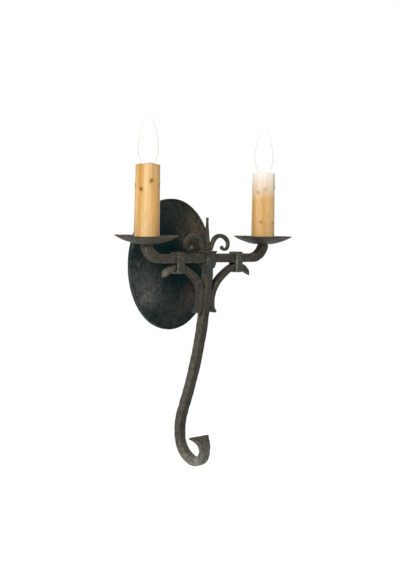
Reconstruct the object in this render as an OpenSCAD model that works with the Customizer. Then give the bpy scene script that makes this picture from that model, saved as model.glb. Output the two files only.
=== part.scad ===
// Two-light candle wall sconce of forged iron bar, in millimetres
// Origin: centre of the wall plate, on the wall. +X right, +Y into the wall, +Z up

/* [Wall plate] */
// Height of the oval wall plate
plate_h = 210; // [180:1:260]
// Width of the oval wall plate
plate_w = 176; // [160:1:200]
// Depth of the plate's turned-back edge
plate_edge = 6.5; // [5.5:0.5:12]
// Rise of the dome in front of the edge
plate_dome = 10.5; // [9:0.5:20]
// Sheet thickness of the plate
plate_t = 1.6; // [1:0.1:2]
// Radius of the flat seat at the middle of the dome
plate_seat_r = 14; // [12:0.5:20]

/* [Wall fixing] */
// Gap between each end of the steel strap and the plate's side
strap_margin = 7; // [5:0.5:9]
// Width of the strap
strap_w = 20; // [18:1:26]
// Thickness of the strap
strap_t = 2.4; // [1.6:0.1:3]
// Spacing of the two slots for the wall box screws
slot_gap = 88.9; // [83:0.1:96]
// Length of each slot
slot_l = 14; // [10:0.5:16]
// Width of each slot
slot_w = 4.8; // [4:0.1:6]
// Hole for the leads in the middle of the strap
strap_hole_r = 9; // [7:0.5:9]
// Distance of each plate screw from the strap's end
screw_end = 7; // [5:0.5:9]
// Thread radius of the plate screws
screw_r = 2.05; // [1.5:0.05:2.5]
// Head radius of the plate screws
screw_head_r = 4.4; // [3.5:0.1:5]
// Distance of the earth screw from the middle
earth_x = 28; // [24:0.5:31]

/* [Stand-off and hub] */
// Distance from the wall to the middle of the arms
stand_off = 87; // [80:1:110]
// Height of the arms above the middle of the plate
arm_z = 12; // [0:1:30]
// Outer radius of the stand-off tube
tube_r = 8.5; // [7:0.5:11]
// Wall of the stand-off tube
tube_t = 1.5; // [1:0.1:2]
// Outer radius of the threaded nipples
nipple_r = 4.9; // [4.5:0.1:5.2]
// Bore radius of the threaded nipples
nipple_bore_r = 3.3; // [3:0.1:3.4]
// Width of the hub block
hub_w = 19.5; // [18.5:0.5:26]
// Depth of the hub block
hub_d = 18.5; // [18:0.5:26]
// Height of the hub above the arms' centre
hub_top = 11.5; // [10.5:0.5:18]
// Depth of the hub below the arms' centre
hub_drop = 15.5; // [14.5:0.5:20]
// Projection of the hub's top lip
hub_lip = 1.2; // [0.4:0.1:2]

/* [Arms and pans] */
// Distance between the two candles
candle_gap = 250; // [230:1:300]
// Thickness of the square bar of the arms
arm_bar = 14; // [13:0.5:14.5]
// Width of the bevel along the bars
bar_bevel = 0.9; // [0.4:0.1:1.6]
// Radius of the wire passage in the arms
arm_bore_r = 4; // [3.4:0.1:4.2]
// Centreline radius of the tight turn below each pan
arm_turn_r = 11; // [9:0.5:13]
// Height of the pans' underside above the arms' centre
pan_lift = 21.6; // [21:0.1:24]
// Radius of the pan at its rim
pan_r = 47; // [40:0.5:58]
// Depth of the pan
pan_depth = 11.9; // [9:0.1:15]
// Radius of the pan's flat floor
pan_floor_r = 13; // [13:0.5:16]
// Sheet thickness of the pan
pan_t = 1.6; // [1:0.1:2.2]
// Thickness of the washer between arm and pan
washer_t = 1.5; // [1:0.1:2.5]

/* [Collars, brackets and scrolls] */
// Distance of each collar from its bracket's crook, towards the hub
collar_inset = 0.1; // [0:0.1:2]
// Width of a collar along the arm
collar_w = 11; // [8:0.5:12]
// Wall thickness of a collar
collar_t = 3; // [1.6:0.1:4]
// In-plane thickness of the bracket bar
bracket_t = 8.5; // [6.5:0.25:8.75]
// Depth of the bracket bar, front to back
bracket_d = 13; // [10:0.5:13.5]
// Thickness of the scroll bar
scroll_t = 6; // [4.5:0.25:6]
// Distance of the scroll roots from the hub's centre
scroll_x = 7.1; // [7:0.05:7.2]
// Distance of the spike and scrolls behind the arms' plane
crest_back = 2; // [0:0.1:2.4]
// Height of the spike above the hub
spike_h = 49; // [35:1:80]
// Width of the spike at its foot
spike_w = 8.4; // [6:0.2:8.4]

/* [Stem and tail] */
// Thickness of the square bar of the stem
stem_bar = 13.5; // [11:0.5:13.5]
// Width of the fishtail at the end of the tail
fishtail_w = 42; // [24:1:50]
// Thickness of the fishtail's edge
fishtail_t = 3.4; // [1.6:0.1:4]

/* [Candle sleeves] */
// Height of a candle sleeve
sleeve_h = 113.8; // [110:0.1:120]
// Outer radius of a sleeve at its foot
sleeve_foot_r = 19; // [18.5:0.25:19.25]
// Outer radius of a sleeve at its top
sleeve_top_r = 18; // [17.5:0.25:18.75]
// Bore radius of a sleeve
sleeve_bore_r = 16; // [15.9:0.05:16.5]

/* [Sockets and bulbs] */
// Height of the socket post above the pan's floor
post_h = 64.4; // [60:0.1:70]
// Outer radius of the socket body
socket_r = 11.5; // [10.5:0.25:12.5]
// Height of the socket body
socket_h = 40; // [36:0.5:44]
// Radius of the bulb's screw cap
cap_r = 5.75; // [5.5:0.05:5.8]
// Height of the bulb's screw cap
cap_h = 14; // [12:0.5:15]
// Largest radius of the bulb
bulb_r = 15.5; // [13:0.1:15.5]
// Height of the bulb's glass above its cap
bulb_h = 85; // [70:1:100]
// Height of the bulb's widest ring above its cap
bulb_belly = 31; // [24:1:38]
// Wall of the bulb's glass
glass_t = 0.8; // [0.5:0.1:1.2]

/* [Wiring] */
// Radius of an insulated lead
lead_r = 0.95; // [0.7:0.05:1]
// Length of a wire connector
connector_l = 17; // [14:1:22]

/* [Hidden] */
$fn = 64;
iron = [0.24, 0.22, 0.20];
resin = [0.80, 0.62, 0.36];
brass = [0.78, 0.62, 0.30];
steel = [0.62, 0.62, 0.60];
dark_plastic = [0.12, 0.11, 0.10];

// Fit between a threaded piece and its hole
thread_gap = 0.05;
// Play round the bars in the collars and the hub
bar_gap = 0.05;
// Gap between a bracket's crook and the underside of the arm
crook_gap = 0.3;
// Axis of each candle from the middle, and the plane of the arms
candle_x = candle_gap / 2;
arm_y = -stand_off;
// Length of the strap and place of the plate's screws in it
strap_l = plate_w - 2 * strap_margin;
screw_x = strap_l / 2 - screw_end;
// Front and inside of the plate at its middle
dome_y = -(plate_edge + plate_dome);
dome_in_y = dome_y + plate_t;
// Levels above the arms' centre along a candle
pan_z = arm_z + pan_lift;
floor_z = pan_z + pan_t;
arm_top_z = pan_z - washer_t;
post_t = 1.6;
nut_h = 4;
thin_nut_h = 3;
nut_r = 7.4;
riser_top_z = floor_z + post_t + nut_h + 2;
riser_depth = 6;
// End of an arm: a wide sweep, then a tighter turn to upright under the pan
arm_turn = 55;
passage_turn = 42;
arm_rise = pan_lift - washer_t - 0.2;
arm_sweep_r = (arm_rise - arm_turn_r * cos(arm_turn)) / (1 - cos(arm_turn));
turn_x = candle_x - arm_turn_r;
sweep_x = turn_x + arm_turn_r * sin(arm_turn) - arm_sweep_r * sin(arm_turn);
// Foot of a sleeve, on the pan's rising floor
sleeve_z = floor_z + pan_curve(sleeve_foot_r) + 0.05;
socket_z = floor_z + post_h;
socket_top_z = socket_z + socket_h;
cap_top_z = socket_top_z + 0.6;
cap_z = cap_top_z - cap_h;
insulator_h = 2;
thread_pitch = 2.6;
contact_h = 0.8;
contact_z = cap_z - insulator_h - contact_h;
shell_t = 0.45;
shell_r = cap_r + 0.4;
post_y = 10.2;
post_w = 10;
post_foot_r = 9;
// Support wires above the stem inside the bulb
mount_top = 34;
// Passages inside the hub
hub_pocket = 3;
hub_cavity = [10, 11, 12];
hub_bevel = 6;
back_y = arm_y + hub_d / 2;
// Offsets of the leads
lead_gap = 1.15;
lead_step = 1.1;
lead_top = 4;
connector_z = 20;
connector_y = dome_in_y / 2 - strap_t / 4;
connector_r = 4.4;
connector_tip_r = 3.4;
connector_bore_l = 9;

// Curve of the stem: heading at the hub, then the sweep, the belly, the hook and the curl
stem_heading = 272.6;
sweep_r = 663;
belly_r = 94;
hook_r = 39;
curl_r = 20.2;
stem_arcs = [[sweep_r, 19.8], [belly_r, -27.4], [hook_r, -76], [curl_r, -169]];
// Curve of a scroll, from its root to the knob, and its bevel
scroll_bevel = 1.5;
scroll_heading = 74;
root_r = 54.5;
shoulder_r = 17.5;
crown_r = 21;
inner_r = 10;
eye_r = 7.6;
scroll_arcs = [[root_r, -16], [shoulder_r, -61], [crown_r, -43], [inner_r, -59.7], [eye_r, -125.5]];
// Curve of a bracket, from its leaf tip over the crook under the arm to its foot on the stem
leaf_heading = 128.6;
leaf_r = 44.5;
crook_r = 10.5;
back_r = 94.6;
waist_r = 44.6;
foot_r = 43.7;
flare_r = 15.7;
bracket_arcs = [
  [leaf_r, 44], [crook_r, 25.5], [back_r, 23.7], [waist_r, 28.7], [foot_r, 32.8], [flare_r, 39.7]
];

// Outline of a square bar with bevelled edges
function bar_section(t, w, b) = [
  [t / 2, -w / 2 + b], [t / 2, w / 2 - b], [t / 2 - b, w / 2], [-t / 2 + b, w / 2],
  [-t / 2, w / 2 - b], [-t / 2, -w / 2 + b], [-t / 2 + b, -w / 2], [t / 2 - b, -w / 2]
];
// Steps used for an arc, finer where the bend is tight
function arc_steps(r, turn) = max(2, ceil(abs(turn) / (r > 300 ? 1.6 : r > 60 ? 3.5 : 8)));
// Points and headings along a chain of arcs, each given as [radius, turn]
function arc_chain(p, h, arcs, k = 0) =
  k >= len(arcs) ? [[p, h]] :
  let (
    r = arcs[k][0],
    turn = arcs[k][1],
    side = sign(turn),
    n = arc_steps(r, turn),
    c = p + r * side * [-sin(h), cos(h)]
  )
  concat(
    [for (i = [0 : n - 1]) let (a = h + turn * i / n) [c + r * side * [sin(a), -cos(a)], a]],
    arc_chain(c + r * side * [sin(h + turn), -cos(h + turn)], h + turn, arcs, k + 1)
  );
// Bracket with its crook just under the arm and its foot against the stem
bracket_line = arc_chain([0, 0], leaf_heading, bracket_arcs);
crook_z = max([for (s = bracket_line) s[0][1]]);
crook_x = [for (s = bracket_line) if (s[0][1] == crook_z) s[0][0]][0];
bracket_start = [
  (stem_bar + bracket_t) / 2 + bar_gap - min([for (s = bracket_line) s[0][0]]),
  -(arm_bar + bracket_t) / 2 - crook_gap - crook_z
];
collar_x = bracket_start[0] + crook_x - collar_inset;
// The brackets lean back below the collars, so that their feet meet the stem
stem_line = arc_chain([arm_y, arm_z - hub_drop - 0.5], stem_heading, stem_arcs);
stem_depths = [for (k = [0 : 10]) [arm_z - stem_line[k][0][1], stem_line[k][0][0] - arm_y]];
lean_from = arm_bar / 2 + 27;
foot_depth = -bracket_start[1] - bracket_line[len(bracket_line) - 1][0][1];
lean = lookup(foot_depth, stem_depths) / (foot_depth - lean_from);
// Length along a chain of stations up to station k
function run_length(s, k) = k == 0 ? 0 : norm(s[k][0] - s[k - 1][0]) + run_length(s, k - 1);

// Forged bar along stations in its own XY plane, with sizes looked up along its length
module forged_bar(stations, thick, wide, bevel = bar_bevel, lean = 0) {
  total = run_length(stations, len(stations) - 1);
  rings = [for (i = [0 : len(stations) - 1])
    let (
      f = run_length(stations, i) / total,
      t = lookup(f, thick),
      w = lookup(f, wide),
      b = min(bevel, 0.3 * min(t, w)),
      h = stations[i][1]
    )
    [for (q = bar_section(t, w, b)) let (up = stations[i][0][1] + cos(h) * q[0])
      [stations[i][0][0] - sin(h) * q[0], up, q[1] - lean * max(0, -up - lean_from)]]];
  last = len(rings) - 1;
  points = [for (ring = rings) for (p = ring) p];
  sides = [for (i = [0 : last - 1]) for (j = [0 : 7]) let (k = (j + 1) % 8)
    each [[8 * i + j, 8 * i + 8 + j, 8 * i + 8 + k], [8 * i + j, 8 * i + 8 + k, 8 * i + k]]];
  first_end = [for (j = [0 : 7]) j];
  last_end = [for (j = [0 : 7]) 8 * last + 7 - j];
  polyhedron(points, concat([first_end], sides, [last_end]), convexity = 6);
}

// Direction along a list of points at point i
function route_dir(p, i) =
  let (d = p[min(i + 1, len(p) - 1)] - p[max(i - 1, 0)]) d / norm(d);
// Round tube swept along a list of points
module wire(p, r, sides = 8) {
  rings = [for (i = [0 : len(p) - 1])
    let (
      d = route_dir(p, i),
      up = abs(d[2]) > 0.9 ? [0, 1, 0] : [0, 0, 1],
      u0 = cross(up, d),
      u = u0 / norm(u0),
      v = cross(d, u)
    )
    [for (j = [0 : sides - 1]) let (a = 360 * j / sides) p[i] + r * (u * cos(a) + v * sin(a))]];
  last = len(p) - 1;
  points = [for (ring = rings) for (q = ring) q];
  faces = [for (i = [0 : last - 1]) for (j = [0 : sides - 1]) let (k = (j + 1) % sides)
    each [
      [sides * i + j, sides * (i + 1) + j, sides * (i + 1) + k],
      [sides * i + j, sides * (i + 1) + k, sides * i + k]
    ]];
  polyhedron(points, concat(
    [[for (j = [0 : sides - 1]) j]], faces, [[for (j = [0 : sides - 1]) sides * last + sides - 1 - j]]
  ), convexity = 6);
}

// Places children at the left (-1) or right (+1) candle axis
module at_candle(side) {
  translate([side * candle_x, arm_y, 0]) children();
}
// Mirrors children to the left side
module on_side(side) {
  if (side < 0) mirror([1, 0, 0]) children();
  else children();
}
// Ring between two radii
module ring(r_out, r_in, z, h) {
  translate([0, 0, z]) difference() {
    cylinder(r = r_out, h = h);
    translate([0, 0, -1]) cylinder(r = r_in, h = h + 2);
  }
}
// Turns a shape drawn upward so that it points out of the wall
module out_of_wall(y) {
  translate([0, y, 0]) rotate([90, 0, 0]) children();
}

// Strap on the wall
module mounting_strap() {
  color(steel) out_of_wall(0) linear_extrude(strap_t) difference() {
    square([strap_l, strap_w], center = true);
    circle(r = strap_hole_r);
    for (s = [-1, 1]) {
      translate([s * slot_gap / 2, 0]) slot_outline();
      translate([s * screw_x, 0]) circle(r = screw_r + thread_gap);
    }
    translate([earth_x, 0]) circle(r = screw_r + thread_gap);
  }
}
module slot_outline() {
  straight = slot_l - slot_w;
  square([straight, slot_w], center = true);
  for (s = [-1, 1]) translate([s * straight / 2, 0]) circle(d = slot_w);
}
module earth_screw() {
  color([0.2, 0.5, 0.25]) translate([earth_x, 0, 0]) out_of_wall(-0.1) {
    cylinder(r = screw_r, h = strap_t);
    translate([0, 0, strap_t - 0.1]) difference() {
      cylinder(r = 3.8, h = 2.2);
      translate([0, 0, 1.9]) cube([6, 0.9, 1.4], center = true);
    }
  }
}

// Depth of the dome's front at a share of its half width or half height
function dome_rise(f) = plate_dome * (1 - pow(f, 2.2));
function dome_front(f) = -(plate_edge + dome_rise(f));
// One ring of the plate's skin, at share f of the outline; the dome peaks at the arms' height
function plate_ring(f, inset, y, n) = [for (j = [0 : n - 1])
  let (a = 360 * j / n)
  [f * (plate_w / 2 - inset) * cos(a), y, f * (plate_h / 2 - inset) * sin(a) + arm_z * (1 - f)]];
module plate_skin(inset, y_edge, y_shift) {
  n = 64;
  seat = plate_seat_r / (plate_w / 2);
  shares = [1, 0.97, 0.9, 0.8, 0.68, 0.55, 0.4, 0.28, seat];
  flat_y = -(plate_edge + plate_dome) + y_shift;
  rings = concat(
    [plate_ring(1, inset, y_edge, n)],
    [plate_ring(1, inset, -plate_edge + 1.2 + y_shift, n)],
    [plate_ring(0.988, inset, -plate_edge + 0.2 + y_shift, n)],
    [for (k = [1 : len(shares) - 2])
      plate_ring(shares[k], inset, dome_front(shares[k]) + y_shift, n)],
    [[for (j = [0 : n - 1]) let (a = 360 * j / n)
      [plate_seat_r * cos(a), flat_y, arm_z + plate_seat_r * sin(a)]]]
  );
  last = len(rings) - 1;
  points = [for (ring = rings) for (q = ring) q];
  sides = [for (i = [0 : last - 1]) for (j = [0 : n - 1]) let (k = (j + 1) % n)
    each [
      [n * i + j, n * (i + 1) + j, n * (i + 1) + k],
      [n * i + j, n * (i + 1) + k, n * i + k]
    ]];
  polyhedron(points, concat(
    [[for (j = [0 : n - 1]) j]], sides, [[for (j = [0 : n - 1]) n * last + n - 1 - j]]
  ), convexity = 4);
}
// Domed oval plate with a turned-back edge
module wall_plate() {
  color(iron) difference() {
    plate_skin(0, 0, 0);
    plate_skin(plate_t, 1, plate_t);
    out_of_wall(0) translate([0, arm_z, 0]) cylinder(r = nipple_r + 0.3, h = -dome_y + 1);
    for (s = [-1, 1]) translate([s * screw_x, 0, 0]) out_of_wall(0)
      cylinder(r = screw_r + 0.6, h = 40);
  }
}
// Round-headed screws at the plate's sides, into the strap
module plate_screws() {
  seat_y = dome_front((screw_x - screw_head_r) / (plate_w / 2)) - 0.05;
  color(iron) for (s = [-1, 1]) translate([s * screw_x, 0, 0]) {
    out_of_wall(-0.1) cylinder(r = screw_r, h = -seat_y);
    out_of_wall(seat_y) difference() {
      rotate_extrude() intersection() {
        translate([0, -1.2]) circle(r = screw_head_r);
        square([screw_head_r, screw_head_r]);
      }
      translate([0, 0, screw_head_r]) cube([2 * screw_head_r, 1.1, 4.4], center = true);
    }
  }
}
module plate_nut() {
  color(brass) out_of_wall(dome_in_y + thin_nut_h) translate([0, arm_z, 0]) difference() {
    cylinder(r = nut_r, h = thin_nut_h, $fn = 6);
    translate([0, 0, -1]) cylinder(r = nipple_r + thread_gap, h = thin_nut_h + 2);
  }
}
// Threaded tube from the plate into the hub, with the leads inside
module centre_nipple() {
  inner_y = dome_in_y + thin_nut_h + 0.8;
  color(brass) out_of_wall(inner_y) translate([0, arm_z, 0]) difference() {
    cylinder(r = nipple_r, h = inner_y - back_y + 3.6);
    translate([0, 0, -1]) cylinder(r = nipple_bore_r, h = stand_off);
  }
}
module standoff_tube() {
  color(iron) out_of_wall(dome_y) translate([0, arm_z, 0]) difference() {
    cylinder(r = tube_r, h = dome_y - back_y);
    translate([0, 0, -1]) cylinder(r = tube_r - tube_t, h = stand_off);
  }
}

// Centre block that the arms, stem and stand-off tube are let into
module hub() {
  color(iron) translate([0, arm_y, arm_z]) difference() {
    intersection() {
      rotate([90, 0, 0]) linear_extrude(hub_d + 2 * hub_lip, center = true) hub_outline(hub_w);
      rotate([90, 0, 90]) linear_extrude(hub_w + 2 * hub_lip, center = true) hub_outline(hub_d);
    }
    for (s = [-1, 1]) translate([s * hub_w / 2, 0, 0])
      cube([2 * hub_pocket, arm_bar + 2 * bar_gap, arm_bar + 2 * bar_gap], center = true);
    rotate([0, 90, 0]) cylinder(r = arm_bore_r, h = hub_w, center = true);
    cube(hub_cavity, center = true);
    translate([0, hub_d / 2 + hub_lip + 1, 0]) rotate([90, 0, 0])
      cylinder(r = nipple_r + thread_gap, h = hub_d / 2);
    translate([0, 0, -hub_drop])
      cube([stem_bar + 2 * bar_gap, stem_bar + 2 * bar_gap, 2 * hub_pocket], center = true);
  }
}
// Front or side outline of the hub, with its top lip and drawn-in foot
module hub_outline(w) {
  foot = arm_bar / 2 + 0.8;
  lip = w / 2 + hub_lip;
  polygon([
    [-foot, -hub_drop], [foot, -hub_drop], [w / 2, -hub_drop + hub_bevel], [w / 2, hub_top - 3.2],
    [lip, hub_top - 2.4], [lip, hub_top - 1], [lip - 1, hub_top], [1 - lip, hub_top],
    [-lip, hub_top - 1], [-lip, hub_top - 2.4], [-w / 2, hub_top - 3.2], [-w / 2, -hub_drop + hub_bevel]
  ]);
}
// Square spike on the hub
module spike() {
  taper = [[0, spike_w], [0.25, 0.89 * spike_w], [0.44, 0.76 * spike_w], [0.69, 0.57 * spike_w],
    [0.88, 0.47 * spike_w], [1, 3.7]];
  color(iron) translate([0, arm_y + crest_back, arm_z + hub_top]) {
    rotate([90, 0, 0]) forged_bar([for (k = [0 : 12]) [[0, spike_h * k / 12], 90]], taper, taper);
    translate([0, 0, spike_h]) sphere(r = 2.5, $fn = 32);
  }
}
// Stem from the hub down to the fishtail, in the plane of the wall's normal
module stem() {
  root_z = arm_z - hub_drop;
  stations = concat(
    [[[arm_y, root_z + hub_pocket - bar_gap], 270], [[arm_y, root_z], 270]],
    stem_line
  );
  color(iron) rotate([90, 0, 90]) forged_bar(
    stations,
    [[0, stem_bar], [0.86, stem_bar], [0.91, 0.93 * stem_bar], [0.95, 0.7 * stem_bar],
     [0.98, 0.42 * stem_bar], [1, fishtail_t]],
    [[0, stem_bar], [0.86, stem_bar], [0.935, 1.15 * stem_bar], [0.96, 1.6 * stem_bar],
     [0.98, 0.7 * fishtail_w], [1, fishtail_w]]
  );
}

// Scroll above the arm, rooted on the hub, with a round knob at its end
module scroll_at(side) {
  stations = concat(
    [[[scroll_x, bar_gap], 90]],
    arc_chain([scroll_x + 0.15, 1.2], scroll_heading, scroll_arcs)
  );
  thick = [[0, 0.93 * scroll_t], [0.12, 1.1 * scroll_t], [0.55, 1.03 * scroll_t], [0.85, 0.8 * scroll_t],
    [0.91, 0.68 * scroll_t], [0.93, 0.86 * scroll_t], [0.96, 1.1 * scroll_t], [0.985, 0.9 * scroll_t],
    [1, 0.5 * scroll_t]];
  wide = [[0, 1.15 * scroll_t], [0.5, 1.1 * scroll_t], [0.85, 0.9 * scroll_t], [0.91, 0.8 * scroll_t],
    [0.96, 1.1 * scroll_t], [0.985, 0.9 * scroll_t], [1, 0.5 * scroll_t]];
  color(iron) on_side(side) translate([0, arm_y + crest_back, arm_z + hub_top])
    rotate([90, 0, 0]) forged_bar(stations, thick, wide, scroll_bevel);
}
module scroll_left() { scroll_at(-1); }
module scroll_right() { scroll_at(1); }

// Ring of 16 points of a bevelled square bar, and of a round passage in it
function bar_ring(station) =
  let (half = arm_bar / 2)
  [for (a = [0 : 90 : 270]) for (y = [bar_bevel - half, -half / 3, half / 3, half - bar_bevel])
    in_plane(station, [half * cos(a) - y * sin(a), half * sin(a) + y * cos(a)])];
function bore_ring(station, r) =
  [for (j = [0 : 15]) in_plane(station, r * [cos(22.5 * j - 33.75), sin(22.5 * j - 33.75)])];
function in_plane(station, q) =
  let (p = station[0], h = station[1]) [p[0] - sin(h) * q[0], p[1] + cos(h) * q[0], q[1]];
// Solid between a chain of outer rings and a chain of inner rings
module hollow_sweep(outer, inner) {
  n = len(outer[0]);
  base = n * len(outer);
  top = base - n;
  inner_top = base + n * (len(inner) - 1);
  points = [for (ring = concat(outer, inner)) for (p = ring) p];
  outer_faces = [for (a = [0 : n : top - n]) for (j = [0 : n - 1]) let (k = (j + 1) % n)
    each [[a + j, a + n + j, a + n + k], [a + j, a + n + k, a + k]]];
  inner_faces = [for (a = [base : n : inner_top - n]) for (j = [0 : n - 1]) let (k = (j + 1) % n)
    each [[a + j, a + n + k, a + n + j], [a + j, a + k, a + n + k]]];
  ends = [for (j = [0 : n - 1]) let (k = (j + 1) % n, a = top, b = inner_top)
    each [[j, k, base + k], [j, base + k, base + j], [a + k, a + j, b + j], [a + k, b + j, b + k]]];
  polyhedron(points, concat(outer_faces, inner_faces, ends), convexity = 6);
}
// Hollow square arm from the hub, swept up under its pan
module arm_at(side) {
  root = [[hub_w / 2 - hub_pocket + bar_gap, 0], 0];
  top = arm_top_z - arm_z;
  riser_hole_r = (nipple_r + thread_gap) / cos(11.25);
  outer = concat(
    [root],
    arc_chain([sweep_x, 0], 0, [[arm_sweep_r, arm_turn], [arm_turn_r, 90 - arm_turn]]),
    [[[candle_x, top], 90]]
  );
  passage = concat([root], arc_chain([sweep_x, 0], 0, [[arm_sweep_r, passage_turn]]));
  color(iron) on_side(side) translate([0, arm_y, arm_z]) rotate([90, 0, 0]) hollow_sweep(
    [for (s = outer) bar_ring(s)],
    concat(
      [for (s = passage) bore_ring(s, arm_bore_r)],
      [for (z = [top - riser_depth, top]) bore_ring([[candle_x, z], 90], riser_hole_r)]
    )
  );
}
module arm_left() { arm_at(-1); }
module arm_right() { arm_at(1); }

// Band round an arm and its bracket, with bevelled edges and a groove in its front
module collar_at(side) {
  reach = arm_bar / 2 + collar_t;
  bevel = 1.8;
  corner = 0.8 * collar_t;
  hole_low = arm_bar / 2 + bracket_t + 4.9;
  low = -hole_low - 0.8 * collar_t;
  color(iron) on_side(side) translate([collar_x, arm_y, arm_z]) difference() {
    intersection() {
      rotate([90, 0, 0]) linear_extrude(2 * reach, center = true) polygon([
        [-collar_w / 2 - bevel, low + bevel], [-collar_w / 2, low], [collar_w / 2, low],
        [collar_w / 2 + bevel, low + bevel], [collar_w / 2 + bevel, reach - bevel], [collar_w / 2, reach],
        [-collar_w / 2, reach], [-collar_w / 2 - bevel, reach - bevel]
      ]);
      translate([0, 0, low]) linear_extrude(reach - low) polygon([
        [-collar_w / 2 - bevel, -reach + bevel], [-collar_w / 2, -reach], [-2.2, -reach],
        [-1.4, -reach + 0.9], [-0.6, -reach], [collar_w / 2, -reach],
        [collar_w / 2 + bevel, -reach + bevel], [collar_w / 2 + bevel, reach - bevel],
        [collar_w / 2, reach], [-collar_w / 2, reach], [-collar_w / 2 - bevel, reach - bevel]
      ]);
      rotate([90, 0, 90]) linear_extrude(2 * collar_w, center = true) polygon([
        [corner - reach, low], [reach - corner, low], [reach, low + corner], [reach, reach - corner],
        [reach - corner, reach], [corner - reach, reach], [-reach, reach - corner], [-reach, low + corner]
      ]);
    }
    translate([-collar_w, -arm_bar / 2 - bar_gap, -hole_low])
      cube([2 * collar_w, arm_bar + 2 * bar_gap, hole_low + arm_bar / 2 + bar_gap]);
  }
}
module collar_left() { collar_at(-1); }
module collar_right() { collar_at(1); }

// C-shaped bracket from its leaf tip, under the arm, down the side of the stem
module bracket_at(side) {
  color(iron) on_side(side) translate([0, arm_y, arm_z]) rotate([90, 0, 0]) forged_bar(
    arc_chain(bracket_start, leaf_heading, bracket_arcs),
    [[0, 1.8], [0.02, 4.2], [0.06, 0.82 * bracket_t], [0.12, bracket_t], [0.91, bracket_t],
     [1, 0.45 * bracket_t]],
    [[0, 2.4], [0.02, 6], [0.06, 0.88 * bracket_d], [0.12, 1.04 * bracket_d], [0.2, bracket_d],
     [0.91, bracket_d], [1, 1.4 * bracket_d]],
    bar_bevel, lean
  );
}
module bracket_left() { bracket_at(-1); }
module bracket_right() { bracket_at(1); }

// Height of the pan's underside above its floor level, at radius r
function pan_curve(r) =
  let (
    run = pan_r * pan_r - pan_floor_r * pan_floor_r - pan_depth * pan_depth,
    c = run / (2 * pan_depth),
    big = sqrt(pan_r * pan_r + c * c)
  )
  r <= pan_floor_r ? 0 : pan_depth + c - sqrt(big * big - r * r);
module pan_at(side) {
  steps = 8;
  radii = [for (k = [0 : steps]) pan_floor_r + (pan_r - pan_floor_r) * k / steps];
  color(iron) at_candle(side) translate([0, 0, pan_z]) rotate_extrude($fn = 96) polygon(concat(
    [[nipple_r + 0.3, 0]],
    [for (r = radii) [r, pan_curve(r)]],
    [[pan_r + 0.5, pan_depth + 0.5 * pan_t], [pan_r - 0.3, pan_depth + pan_t]],
    [for (k = [steps - 1 : -1 : 0]) [radii[k], pan_curve(radii[k]) + pan_t]],
    [[nipple_r + 0.3, pan_t]]
  ));
}
module pan_left() { pan_at(-1); }
module pan_right() { pan_at(1); }

module washer_at(side) {
  color(iron) at_candle(side) ring(arm_bar * 0.62, nipple_r + thread_gap, arm_top_z, washer_t);
}
module pan_washer_left() { washer_at(-1); }
module pan_washer_right() { washer_at(1); }
module riser_at(side) {
  foot_z = arm_top_z - riser_depth + 0.3;
  color(brass) at_candle(side) ring(nipple_r, nipple_bore_r, foot_z, riser_top_z - foot_z);
}
module riser_nipple_left() { riser_at(-1); }
module riser_nipple_right() { riser_at(1); }
module pan_nut_at(side) {
  color(steel) at_candle(side) translate([0, 0, floor_z + post_t]) difference() {
    cylinder(r = nut_r, h = nut_h, $fn = 6);
    translate([0, 0, -1]) cylinder(r = nipple_r + thread_gap, h = nut_h + 2);
  }
}
module pan_nut_left() { pan_nut_at(-1); }
module pan_nut_right() { pan_nut_at(1); }

// Bent steel post that carries the socket above the nut
module socket_post_at(side) {
  color(steel) at_candle(side) difference() {
    union() {
      translate([0, 0, floor_z]) cylinder(r = post_foot_r, h = post_t);
      translate([-post_w / 2, 0, floor_z]) cube([post_w, post_y + post_t, post_t]);
      translate([-post_w / 2, post_y, floor_z]) cube([post_w, post_t, post_h]);
      translate([-post_w / 2, 1, socket_z - post_t]) cube([post_w, post_y + post_t - 1, post_t]);
    }
    translate([0, 0, floor_z - 1]) cylinder(r = nipple_r + thread_gap, h = post_t + 2);
  }
}
module socket_post_left() { socket_post_at(-1); }
module socket_post_right() { socket_post_at(1); }
// Moulded socket body, open at the top for the screw shell
module socket_body_at(side) {
  color(dark_plastic) at_candle(side) difference() {
    translate([0, 0, socket_z]) cylinder(r = socket_r, h = socket_h);
    translate([0, 0, contact_z - 1.6]) cylinder(r = shell_r + shell_t, h = socket_h);
    for (s = [-1, 1]) translate([s * lead_top, -lead_top, socket_z - 1])
      cylinder(r = lead_r + 0.1, h = 7);
  }
}
module socket_body_left() { socket_body_at(-1); }
module socket_body_right() { socket_body_at(1); }
module socket_shell_at(side) {
  high = socket_top_z - cap_z + 1;
  color(brass) at_candle(side) ring(shell_r + shell_t - 0.02, shell_r, cap_z - 1.2, high);
}
module socket_shell_left() { socket_shell_at(-1); }
module socket_shell_right() { socket_shell_at(1); }
// Centre contact at the bottom of the socket
module socket_contact_at(side) {
  color(brass) at_candle(side) {
    translate([0, 0, contact_z - 1.6]) cylinder(r = 4.5, h = 0.6);
    translate([0, 0, contact_z - 1]) cylinder(r = 2, h = 0.95);
  }
}
module socket_contact_left() { socket_contact_at(-1); }
module socket_contact_right() { socket_contact_at(1); }

// Tapered resin sleeve standing in the pan
module sleeve_at(side) {
  color(resin) at_candle(side) translate([0, 0, sleeve_z]) rotate_extrude($fn = 96) polygon([
    [sleeve_bore_r, 0], [sleeve_foot_r, 0], [sleeve_top_r, sleeve_h - 1],
    [sleeve_top_r - 0.9, sleeve_h], [sleeve_bore_r, sleeve_h]
  ]);
}
module sleeve_left() { sleeve_at(-1); }
module sleeve_right() { sleeve_at(1); }

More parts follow.
